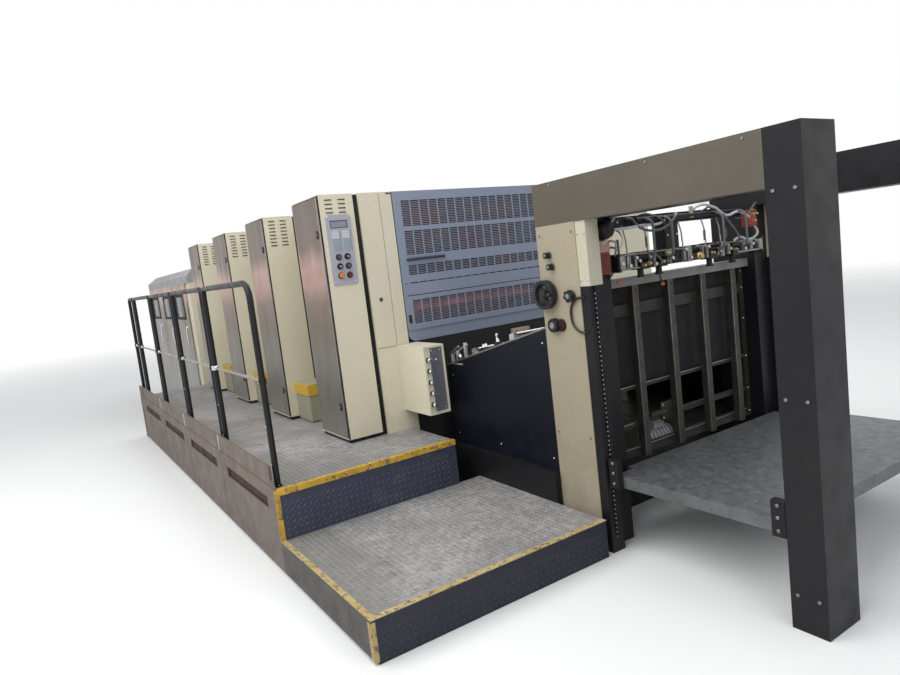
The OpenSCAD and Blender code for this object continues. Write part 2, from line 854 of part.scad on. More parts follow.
module unit_column(n) {
    x1 = unit_x(n);
    x0 = x1 - col_len;
    y0 = -press_half_w;
    color(cream) {
        difference() {
            block(x0, x1, y0, col_back_y, col_z0, unit_top);
            block(x0 - 1, x1 - col_lip, y0 - 1, col_body_y, col_z0 + door_rail, unit_top - door_rail);
            block(x0 + col_wall, x1 - col_lip - col_wall, col_body_y - 1, col_back_y - col_wall,
                  col_z0 + door_rail + col_wall, unit_top - door_rail - col_wall);
            translate([x1, 0, 0]) column_vents(n == 1 ? vent_rows_panel : vent_rows);
        }
        hinge_pin_places(n) {
            translate([0, 0, col_z0 + door_rail - 1]) cylinder(r = pin_r, h = door_gap + pin_len + 1);
            translate([0, 0, unit_top - door_rail - door_gap - pin_len])
                cylinder(r = pin_r, h = door_gap + pin_len + 1);
        }
    }
}

module unit_door(n) {
    color(steel) difference() {
        union() {
            hinge_pin_places(n) {
                translate([0, 0, door_z0]) cylinder(r = hinge_r, h = door_z1 - door_z0);
                translate([0, -hinge_r, door_z0]) cube([door_free, door_t, door_z1 - door_z0]);
            }
            for (z = [lock_z0, lock_z1])
                rod_y(unit_x(n) - lock_in, -press_half_w - lock_h, -press_half_w + eps, z, lock_r);
        }
        hinge_pin_places(n) for (z = [door_z0 - 1, door_z1 - pin_len - pin_r])
            translate([0, 0, z]) cylinder(r = pin_r + pin_clear, h = pin_len + pin_r + 1);
    }
}

module column_gap_strips() {
    color(black) for (n = units)
        block(unit_x(n) - strip_in - strip_w, unit_x(n) - strip_in, col_back_y, cover_y,
              deck_z, unit_top - door_gap);
}

module column_plinths() {
    color(black) for (n = units)
        block(unit_x(n) - col_len + plinth_set, unit_x(n) - plinth_set,
              -press_half_w + plinth_set, col_back_y - plinth_set, deck_z, col_z0);
}

module control_panel() {
    y0 = -press_half_w + (col_w - panel_w) / 2;
    screen_z = panel_h - screen_drop - screen_h;
    color(lilac) translate([front_x, y0, panel_z]) rotate([90, 0, 90]) {
        difference() {
            linear_extrude(panel_t) rounded_outline(panel_w, panel_h, panel_corner_r);
            translate([(panel_w - screen_w) / 2, screen_z, panel_t - screen_d])
                cube([screen_w, screen_h, screen_d + 1]);
        }
        for (i = [0, 1], j = [0 : 2])
            translate([panel_w / 2 + (i - 0.5) * button_pitch, button_z + j * button_rise, panel_t - eps])
                cylinder(r = button_r, h = button_h);
    }
}

box_face_x = front_x + box_len - box_recess;
module control_box() {
    color(cream) difference() {
        block(front_x, front_x + box_len, box_y, box_y + box_w, box_z, box_z + box_h);
        block(box_face_x, front_x + box_len + 1, box_y + box_rim, box_y + box_w - box_rim,
              box_z + box_rim, box_z + box_h - box_rim);
    }
}

module control_knobs() {
    color("silver") for (i = [0 : knob_count - 1]) {
        z = box_z + knob_rise + i * knob_pitch;
        rod_x(box_face_x, box_face_x + knob_len / 2, box_y + knob_inset, z, knob_r / 2);
        rod_x(box_face_x + knob_len / 2 - eps, box_face_x + knob_len, box_y + knob_inset, z, knob_r);
    }
}

module gallery_deck() {
    color(tread) {
        block(deck_x0, deck_x1 - riser_t, deck_edge_y + skirt_t, deck_inner_y, deck_z - deck_t, deck_z);
        block(front_x, deck_x1 - riser_t, deck_inner_y - eps, deck_nose_y, deck_z - deck_t, deck_z);
        block(deck_x1 - riser_t, front_x + step_front - riser_t, deck_edge_y + skirt_t, -base_half_w,
              step_z - deck_t, step_z);
    }
}

module gallery_ribs() {
    rib_y = deck_edge_y + skirt_t + rib_gap;
    color(black) {
        for (x = [deck_x0 + rib_inset : rib_pitch : deck_x1 - rib_inset - rib_t])
            block(x, x + rib_t, rib_y, deck_inner_y - rib_gap, 0, deck_z - deck_t);
        for (x = [deck_x1 + rib_inset, front_x + step_front - rib_inset - rib_t])
            block(x, x + rib_t, rib_y, -base_half_w - rib_gap, 0, step_z - deck_t);
    }
}

module gallery_risers() {
    color(tread) {
        block(deck_x1 - riser_t, deck_x1, deck_edge_y + skirt_t, deck_nose_y, step_z, deck_z);
        block(front_x + step_front - riser_t, front_x + step_front, deck_edge_y + skirt_t, -base_half_w,
              0, step_z);
        block(deck_x0 - riser_t, deck_x0, deck_edge_y, deck_inner_y, 0, deck_z);
    }
}

// Distance from the deck's front edge to the far edge of skirt panel i
function skirt_x(i) = deck_x1 - i * unit_pitch;
module gallery_skirts() {
    color(skirt_colour) {
        for (i = [0 : unit_count - 1]) {
            x1 = skirt_x(i);
            x0 = max(skirt_x(i + 1) + skirt_gap, deck_x0);
            nose = i == 0 ? toe_chamfer : 0;
            mid_x = (x0 + x1) / 2;
            difference() {
                slab_xz([[x0, skirt_z], [x1, skirt_z], [x1, deck_z], [x1 - nose, deck_z + nose],
                         [x1 - nose, deck_z + toe_h], [x0, deck_z + toe_h]],
                        deck_edge_y, deck_edge_y + skirt_t);
                block(mid_x - grip_len / 2, mid_x + grip_len / 2, deck_edge_y - 1, deck_edge_y + grip_d,
                      grip_z, grip_z + grip_h);
                block(x0 - 1, x1 + 1, deck_edge_y - 1, deck_edge_y + fold_d,
                      deck_z + skirt_t, deck_z + toe_h + 1);
            }
        }
        block(deck_x1, front_x + step_front, deck_edge_y, deck_edge_y + skirt_t, skirt_z, step_z);
    }
}

module edge_strips() {
    foot_y = -press_half_w + foot_set;
    foot_face_x = foot_len + foot_band_t;
    color(yellow) {
        for (n = [2 : unit_count]) translate([unit_x(n), 0, footboard_z - foot_band]) {
            block(0, foot_face_x, foot_y - foot_band_t, foot_y, 0, foot_band);
            block(foot_len, foot_face_x, foot_y - eps, cover_y, 0, foot_band);
        }
        block(deck_x1, deck_x1 + edge_t, deck_edge_y, deck_nose_y, deck_z - edge_w, deck_z + edge_t);
        block(deck_x1 - edge_w, deck_x1 + eps, deck_edge_y + skirt_t, deck_nose_y, deck_z, deck_z + edge_t);
        block(deck_x1, deck_x1 + edge_t, deck_edge_y, deck_edge_y + edge_w,
              step_z + edge_t, deck_z - edge_w + eps);
        block(front_x + step_front - edge_w, front_x + step_front + edge_t, deck_edge_y, -base_half_w,
              step_z, step_z + edge_t);
        block(deck_x1 + edge_t, front_x + step_front - edge_w + eps, deck_edge_y, deck_edge_y + edge_w,
              step_z, step_z + edge_t);
    }
}

rail_y = deck_edge_y + rail_side;
// A rail post with the collar at its foot and the clamp whose socket holds the middle rod
module rail_post(x, h, side) {
    translate([x, rail_y, deck_z]) {
        cylinder(r = rail_r, h = h);
        cylinder(r = collar_r, h = collar_h);
        translate([0, 0, rod_h - clamp_h / 2]) cylinder(r = clamp_r, h = clamp_h);
        translate([0, 0, rod_h]) rotate([0, 90 * side, 0]) cylinder(r = socket_r, h = socket_x);
    }
}

// One rail section: two posts and the bar bent over them
module rail_section(x0, x1, bend0, bend1) {
    zt = deck_z + rail_h;
    rail_post(x1, rail_h - bend1, -1);
    rail_post(x0, rail_h - bend0, 1);
    rod_x(x0 + bend0, x1 - bend1, rail_y, zt, rail_r);
    translate([x1 - bend1, rail_y, zt - bend1]) quarter_bend(bend1, rail_r);
    translate([x0 + bend0, rail_y, zt - bend0]) mirror([1, 0, 0]) quarter_bend(bend0, rail_r);
}

// The ends of rail section i, the last one being the short one
function rail_x1(i) = deck_x1 - rail_inset - i * rail_pitch;
function rail_x0(i) = i < rail_count ? rail_x1(i + 1) + rail_gap : rail_x1(i) - rail_last;
module handrails() {
    color(black) for (i = [0 : rail_count])
        rail_section(rail_x0(i), rail_x1(i), bend_small, i == 0 ? bend_big : bend_small);
}

module handrail_rods() {
    color("silver") for (i = [0 : rail_count])
        rod_x(rail_x0(i) + socket_x, rail_x1(i) - socket_x, rail_y, deck_z + rod_h, rod_r);
}

module alcove_steps() {
    y0 = -press_half_w + foot_set;
    color([0.62, 0.60, 0.54]) for (n = [2 : unit_count]) {
        block(unit_x(n), unit_x(n) + foot_len, y0, cover_y, deck_z + foot_toe, footboard_z);
        block(unit_x(n), unit_x(n) + foot_len - foot_recess, y0 + foot_recess, cover_y,
              deck_z, deck_z + foot_toe + eps);
    }
}

function feed_top(x) = feed_low + (x - feed_x0) * tan(feed_slope);

// A slab that follows the feed table's slope, from h0 to h1 above its line
module feed_slab(x0, x1, h0, h1, y0, y1) {
    slab_xz([[x0, feed_top(x0) + h0], [x1, feed_top(x1) + h0],
             [x1, feed_top(x1) + h1], [x0, feed_top(x0) + h1]], y0, y1);
}

module feed_base() {
    color(black) block(front_x, feeder_x0, -base_half_w, base_half_w, 0, base_z);
}

module feed_side_panels() {
    inner = feeder_half_w - feed_side_t;
    color([0.03, 0.04, 0.07]) for (s = [0, 1]) mirror([0, s, 0])
        slab_xz([[feed_x0, base_z], [feeder_x0, base_z],
                 [feeder_x0, feed_top(feeder_x0)], [feed_x0, feed_low]], inner, feeder_half_w);
}

module feed_rails() {
    color("silver") for (s = [0, 1]) mirror([0, s, 0])
        feed_slab(feed_x0, feeder_x0, 0, panel_rail_t, feeder_half_w - panel_rail_w, feeder_half_w);
}

module feed_board() {
    inner = feeder_half_w - feed_side_t;
    color(grey) {
        feed_slab(front_x, feeder_x0, -feed_board_t, 0, -feed_board_half, feed_board_half);
        for (x = [feed_x0 + bar_inset, feeder_x0 - bar_inset])
            rod_y(x, -inner, inner, feed_top(x) - feed_board_t - bar_r / 2, bar_r);
    }
}

module feed_tapes() {
    color([0.72, 0.70, 0.62]) for (i = [0 : tape_count - 1]) {
        y = (i - (tape_count - 1) / 2) * tape_pitch;
        feed_slab(front_x, feeder_x0, 0, tape_t, y - tape_w / 2, y + tape_w / 2);
    }
}

// The rods over the feed board, standing on the rails, with a wheel on every tape
module hold_down_rods() {
    rise = (tape_t + hold_wheel_r) / cos(feed_slope);
    color("silver") for (x = [feed_x0 + hold_inset, feeder_x0 - hold_inset]) {
        z = feed_top(x) + rise;
        rod_y(x, -feeder_half_w + panel_rail_t, feeder_half_w - panel_rail_t, z, hold_r);
        for (i = [0 : tape_count - 1])
            rod_y(x, (i - (tape_count - 1) / 2) * tape_pitch - hold_wheel_w / 2,
                  (i - (tape_count - 1) / 2) * tape_pitch + hold_wheel_w / 2, z, hold_wheel_r);
        for (s = [0, 1]) mirror([0, s, 0])
            feed_slab(x - hold_foot, x + hold_foot, panel_rail_t + eps, rise + hold_r,
                      feeder_half_w - panel_rail_w + panel_rail_t, feeder_half_w - panel_rail_t);
    }
}

module feeder_columns() {
    color(cream) for (s = [0, 1]) mirror([0, s, 0]) difference() {
        block(feeder_x0, fcol_x1, column_face_y, cover_in_y, 0, header_z);
        if (s == 0)
            rod_y(wheel_x, column_face_y - 1, column_face_y + shaft_in + bore_rest,
                  wheel_z, shaft_r + shaft_clear);
    }
}

// The header beams and the covers over the front chains below them
module feeder_headers() {
    color(cream) for (s = [0, 1]) mirror([0, s, 0]) {
        block(feeder_x0, header_x1, column_face_y, cover_in_y, header_z, feeder_top);
        block(fcol_x1, chain_x0 + chain_t, post_y, post_y + chain_post_w, chain_top, header_z);
    }
}

// The black frames inside the covers, a column with the header beam over it
module feeder_frames() {
    color(black) for (s = [0, 1]) mirror([0, s, 0])
        slab_xz([[feeder_x0, 0], [fcol_x1, 0], [fcol_x1, header_z], [header_x1, header_z],
                 [header_x1, feeder_top], [feeder_x0, feeder_top]], cover_in_y, -wall_inner);
}

// The black rear posts and, on the columns' faces, the posts that guide the front chains
module feeder_posts() {
    color(black) for (s = [0, 1]) mirror([0, s, 0]) {
        block(header_x1, rear_x1, column_face_y, column_face_y + fcol_w, 0, feeder_top);
        block(fcol_x1, chain_x0, post_y, post_y + chain_post_w, 0, chain_top);
    }
}

// The hoist's chains, each a strip of plates with round ends
module hoist_chains() {
    runs = [[chain_x0, chain_top], [header_x1 - chain_t, header_z]];
    plate_r = chain_t / 2;
    color([0.3, 0.3, 0.3]) for (s = [0, 1], r = runs) mirror([0, s, 0])
        translate([r[0] + plate_r, -chain_y + chain_w / 2, 0]) rotate([90, 0, 0]) linear_extrude(chain_w) {
            translate([-plate_r / 2, chain_z0]) square([plate_r, r[1] - chain_z0]);
            for (z = [chain_z0 + plate_r : link_pitch : r[1] - plate_r])
                translate([0, z]) circle(r = plate_r, $fn = 24);
        }
}

// The table with its nose between the chain posts and the beams below it
module pile_table() {
    z0 = pile_z - pile_t;
    beam_y = pile_half_w - under_inset;
    color(grey) {
        block(pile_x0, pile_x1, -pile_half_w, pile_half_w, z0, pile_z);
        block(pile_x0 - pile_nose, pile_x0 + eps, -pile_nose_y, pile_nose_y, z0, pile_z);
        for (x = [pile_x0 + under_inset, pile_x1 - under_inset - under_w])
            block(x, x + under_w, -beam_y, beam_y, z0 - under_h, z0 + eps);
    }
}

// The four lugs at the table's corners that the chains lift it by
module pile_lugs() {
    z0 = pile_z - pile_t;
    lug_x0 = chain_x0 + chain_t + lug_gap;
    lug_x1 = header_x1 - chain_t - lug_gap;
    color(dark) for (s = [0, 1], x = [lug_x0, lug_x1 - lug_len])
        mirror([0, s, 0]) block(x, x + lug_len, -pile_half_w - lug_out, -pile_half_w, z0, z0 + lug_h);
}

// The wall in front of the pile: two uprights, four rails and the heavy beam on top
module pile_front_wall() {
    color([0.24, 0.24, 0.20]) {
        for (s = [0, 1]) mirror([0, s, 0])
            block(wall_x, wall_x + wall_t, -wall_inner, -wall_inner + wall_side_w, wall_z, wall_top);
        for (r = wall_rails) block(wall_x, wall_x + wall_t, -wall_inner, wall_inner, r[0], r[0] + r[1]);
        block(wall_x, wall_x + wall_t + wall_ledge, -wall_inner, wall_inner,
              wall_top - wall_beam_h, wall_top);
    }
}

// The panel on the back of the wall, from its third rail to the top
module wall_panel() {
    color(black) block(wall_x - wall_panel_t, wall_x, -wall_inner, wall_inner, wall_rails[2][0], wall_top);
}

// The bars that guide the front of the pile, each an angle with its flange in front
module pile_guide_bars() {
    color([0.45, 0.44, 0.42]) for (i = [0 : bar_count - 1])
        translate([wall_x + wall_t, bar_shift + (i - (bar_count - 1) / 2) * bar_pitch - bar_w / 2, 0]) {
            block(0, bar_d, 0, bar_t, wall_z, wall_top - wall_beam_h);
            block(bar_d - bar_t, bar_d, 0, bar_w, wall_z, wall_top - wall_beam_h);
        }
}

module hoist_motor() {
    x = wall_x - motor_r - motor_rib_h;
    z = wall_z + motor_r;
    y0 = -motor_in - motor_len;
    step = (motor_len - motor_rib_t) / (motor_ribs - 1);
    color([0.40, 0.42, 0.44]) {
        rod_y(x, y0, -motor_in, z, motor_r);
        for (i = [0 : motor_ribs - 1])
            rod_y(x, y0 + i * step, y0 + i * step + motor_rib_t, z, motor_r + motor_rib_h);
        block(x, wall_x, y0, -motor_in, wall_z, z);
    }
}

// The ribbed motor on the frame's face beside the suction head
module head_motor() {
    y = -wall_inner - head_motor_out;
    z = header_z - head_motor_drop - head_motor_r;
    rod_x(fcol_x1, fcol_x1 + head_motor_len, y, z, head_motor_r - head_rib_h);
    for (x = [fcol_x1 : 2 * head_rib_t : fcol_x1 + head_motor_len - head_rib_t])
        rod_x(x, x + head_rib_t, y, z, head_motor_r);
}

// The suction head: a beam with a post, slide rods with the suckers' carriers, and the hose rail
module suction_head() {
    z_low = rod_mid_z - carrier_h / 2;
    z_high = rod_mid_z + carrier_h / 2;
    back_x = slide_x - carrier_w / 2;
    color([0.25, 0.25, 0.26]) {
        block(head_x - head_beam_w / 2, slide_x, -wall_inner, wall_inner, header_z - head_beam_h, header_z);
        block(head_x - head_post_d / 2, head_x + head_post_d / 2, -head_post_in - head_post_w, -head_post_in,
              header_z - head_post_h, header_z);
        block(back_x - back_bar_d, back_x + eps, -wall_inner, wall_inner,
              rod_mid_z - back_bar_h / 2, rod_mid_z + back_bar_h / 2);
        for (z = [rod_z0, rod_z1]) rod_y(slide_x, -wall_inner, wall_inner, z, slide_r);
        for (s = [0, 1]) mirror([0, s, 0])
            block(fcol_x1 - carrier_w / 2, slide_x + carrier_w / 2, -wall_inner, -wall_inner + rod_plate_t,
                  z_low, z_high);
        for (y = carrier_ys) {
            block(back_x, back_x + carrier_w, y - carrier_w / 2, y + carrier_w / 2, z_low, z_high);
            translate([slide_x, y, z_low - sucker_drop]) cylinder(r = sucker_r, h = sucker_drop + eps);
            translate([slide_x, y, z_low - sucker_drop]) cylinder(r = cup_r, h = cup_h);
            rod_x(slide_x, hose_x, y, rod_mid_z, nipple_r);
            rod_x(slide_x, hose_x, y, hose_rail_z, nipple_r);
        }
        rod_y(head_x + hose_rail_out, -hose_rail_half - carrier_w, hose_rail_half, hose_rail_z, hose_rail_r);
        head_motor();
    }
}

// The valve block on the beam and the valve pack on the frame's face below the motor
module valve_block() {
    y1 = wall_inner - valve_w;
    z1 = header_z - head_beam_h / 2;
    pack_y = -wall_inner - head_motor_out - valve_w / 2;
    pack_z = rod_mid_z - carrier_h / 2;
    color([0.62, 0.12, 0.10]) {
        block(slide_x, slide_x + valve_d, y1 - valve_w, y1, z1 - valve_h, z1);
        block(fcol_x1, fcol_x1 + valve_d, pack_y, pack_y + valve_w, pack_z, pack_z + pack_h);
    }
}

// The hoses from the rail down to the carriers, each bent out, down and back
module air_hoses() {
    color([0.55, 0.57, 0.62]) for (y = carrier_ys) translate([hose_x, y, 0]) {
        translate([0, 0, hose_rail_z - hose_bend]) quarter_bend(hose_bend, hose_r);
        translate([0, 0, rod_mid_z + hose_bend]) mirror([0, 0, 1]) quarter_bend(hose_bend, hose_r);
        translate([hose_bend, 0, rod_mid_z + hose_bend])
            cylinder(r = hose_r, h = hose_rail_z - rod_mid_z - 2 * hose_bend);
    }
}

// The handwheel: a rim on a web, a hub and the shaft into the column
module feeder_handwheel() {
    y1 = column_face_y - wheel_out;
    y0 = y1 - wheel_t;
    color(black) {
        difference() {
            rod_y(wheel_x, y0, y1, wheel_z, wheel_r);
            rod_y(wheel_x, y0 - 1, y1 - web_t, wheel_z, wheel_r - rim_w);
        }
        rod_y(wheel_x, y0, y1 - web_t + eps, wheel_z, hub_r);
        rod_y(wheel_x, y1 - eps, column_face_y + shaft_in, wheel_z, shaft_r);
    }
}

// Each knob's distance from the feeder's front, its height and its radius
knob_places = [[91, 1605, 17], [108, 1542, 17], [238, 1383, 26], [96, 1226, 36]];
module feeder_knobs() {
    color(black) for (k = knob_places) {
        rod_y(feeder_x0 + k[0], column_face_y - knob_collar, column_face_y, k[1], k[2] - knob_step);
        rod_y(feeder_x0 + k[0], column_face_y - col_knob_len, column_face_y - knob_collar + eps, k[1], k[2]);
    }
}

// The cable that leaves the front chain post, loops over the column's face and goes back in
module cable_loop() {
    color(black) translate([(fcol_x1 + chain_x0) / 2 - loop_end_bend - loop_r, post_y, 0]) {
        for (z = [loop_top - loop_h, loop_top]) translate([0, 0, z]) mirror([0, 1, 0])
            rotate_extrude(angle = 90) translate([loop_end_bend, 0]) circle(r = loop_r);
        translate([0, -loop_end_bend, 0]) {
            translate([0, 0, loop_top - loop_bend]) mirror([1, 0, 0]) quarter_bend(loop_bend, loop_r);
            translate([0, 0, loop_top - loop_h + loop_bend]) mirror([1, 0, 0]) mirror([0, 0, 1])
                quarter_bend(loop_bend, loop_r);
            translate([-loop_bend, 0, loop_top - loop_h + loop_bend])
                cylinder(r = loop_r, h = loop_h - 2 * loop_bend);
        }
    }
}

module delivery_frame() {
    x1 = delivery_x1;
    inner = delivery_y - side_panel_t;
    color(cream) difference() {
        block(delivery_x0, x1, -inner, inner, 0, delivery_top - hood_h);
        block(delivery_x0 - 1, delivery_x0 + bay_len, -bay_half_w, bay_half_w, -1, bay_h);
    }
}

module delivery_side_panels() {
    w = (delivery_len - end_strip) / side_panels;
    color(steel) for (s = [0, 1], i = [0 : side_panels - 1]) mirror([0, s, 0])
        block(delivery_x0 + i * w, delivery_x0 + (i + 1) * w - side_panel_gap,
              -delivery_y, -delivery_y + side_panel_t, side_panel_z, delivery_top - hood_h);
}

// The hood over the delivery, chamfered along both sides and sloped at its far end
module delivery_hood() {
    z0 = delivery_top - hood_h;
    y1 = delivery_y;
    color([0.55, 0.55, 0.55]) intersection() {
        slab_xz([[delivery_x0, z0], [delivery_x1, z0], [delivery_x1, delivery_top],
                 [delivery_x0 + hood_slope, delivery_top], [delivery_x0, delivery_top - hood_chamfer]],
                -y1, y1);
        slab_yz(delivery_x0 - 1, delivery_x1 + 1)
            polygon([[-y1, z0 - 1], [y1, z0 - 1],
                     [y1, delivery_top - hood_chamfer], [y1 - hood_chamfer, delivery_top + eps],
                     [-y1 + hood_chamfer, delivery_top + eps], [-y1, delivery_top - hood_chamfer]]);
    }
}

for (n = units) {
    unit_housing(n);
    unit_guard(n);
    unit_column(n);
    unit_door(n);
}
guard_slats();
side_covers();
drive_covers();
ink_rollers();
footboards();
column_gap_strips();
column_plinths();
control_panel();
control_box();
control_knobs();
gallery_deck();
gallery_ribs();
gallery_risers();
gallery_skirts();
edge_strips();
handrails();
handrail_rods();
alcove_steps();
feed_base();
feed_side_panels();
feed_rails();
feed_board();
feed_tapes();
hold_down_rods();
feeder_columns();
feeder_headers();
feeder_frames();
feeder_posts();
hoist_chains();
pile_table();
pile_lugs();
pile_front_wall();
wall_panel();
pile_guide_bars();
hoist_motor();
suction_head();
valve_block();
air_hoses();
feeder_handwheel();
feeder_knobs();
cable_loop();
delivery_frame();
delivery_side_panels();
delivery_hood();
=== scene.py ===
"""Looks of a sheet-fed offset printing press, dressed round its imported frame.

The frame gives every main form. This script gives the forms their finishes, adds the small
pieces that a press of this kind carries, and sets up the studio and the camera. Lengths are
in metres, in the row's own frame: +X towards the feeder, -Y to the operator's side, +Z up.
"""

import json
import logging
import math
from dataclasses import dataclass, field
from enum import Enum
from typing import Iterable, Optional, Sequence

import bpy
from mathutils import Matrix, Vector

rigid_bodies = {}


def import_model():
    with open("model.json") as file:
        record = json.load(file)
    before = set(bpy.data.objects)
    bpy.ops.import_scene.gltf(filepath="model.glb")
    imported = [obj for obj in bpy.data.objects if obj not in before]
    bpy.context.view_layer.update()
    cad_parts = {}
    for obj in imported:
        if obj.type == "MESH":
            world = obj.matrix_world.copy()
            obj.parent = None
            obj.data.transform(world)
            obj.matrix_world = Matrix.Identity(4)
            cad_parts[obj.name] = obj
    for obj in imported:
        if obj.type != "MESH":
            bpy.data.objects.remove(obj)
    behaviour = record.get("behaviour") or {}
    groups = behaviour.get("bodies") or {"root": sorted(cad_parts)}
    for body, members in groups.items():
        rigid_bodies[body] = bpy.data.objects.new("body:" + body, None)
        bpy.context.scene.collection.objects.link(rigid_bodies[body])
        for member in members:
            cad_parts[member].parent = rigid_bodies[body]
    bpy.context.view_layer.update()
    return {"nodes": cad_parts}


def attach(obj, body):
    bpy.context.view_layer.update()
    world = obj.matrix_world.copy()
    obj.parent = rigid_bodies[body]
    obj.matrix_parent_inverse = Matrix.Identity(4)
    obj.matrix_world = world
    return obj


LOG = logging.getLogger("press")
ROOT = "root"
TABLE = "pile_table"
WHEEL = "handwheel"

Colour = tuple[float, float, float]
Point = tuple[float, float, float]
Spot = tuple[float, float]
Row = tuple[float, ...]
Patch = tuple[float, float, float, float]
Box = tuple[Point, Point]
Route = tuple[Point, ...]
Profile = tuple[tuple[float, float], ...]
Socket = bpy.types.NodeSocket

# The press's own grid, as its frame has it
UNITS = (1, 2, 3, 4)
UNIT_PITCH = 1.2
FRONT_X = 0.6
PRESS_Y = -1.58
DECK_Z = 0.49
DECK_Y = -2.297
DECK_X1 = 1.158
STEP_Z = 0.2
STEP_X1 = 2.29
COLUMN_Y = -0.88
HEADER_Z = 1.763
CHAIN_Y = 0.83
CHAIN_Z0 = 0.08
CHAIN_TOP = 1.428
LINK_PITCH = 0.025
RAIL_Y = -2.243
POSTS_X = (1.075, -0.015, -0.09, -1.18, -1.255, -2.345, -2.42, -3.51, -3.585, -3.905)
SIDES = (-1, 1)
NAMED_SIDES = ((-1, "left"), (1, "right"))

# Directions, and how far a piece sinks into what carries it
ORIGIN = (0.0, 0.0, 0.0)
TO_FEEDER = (1.0, 0.0, 0.0)
TO_OPERATOR = (0.0, -1.0, 0.0)
TO_DRIVE = (0.0, 1.0, 0.0)
UP = (0.0, 0.0, 1.0)
SEAT = 0.0005
HEXAGON = 6


def unit_x(number: int) -> float:
    """Returns the X of a unit's feeder-side face."""
    return FRONT_X - (number - 1) * UNIT_PITCH


def toned(colour: Colour, factor: float) -> Colour:
    """Returns a colour made darker or lighter by a factor."""
    return tuple(c * factor for c in colour)


class Axis(Enum):
    """One axis of the row's frame."""

    X = 0
    Y = 1
    Z = 2


# Finishes


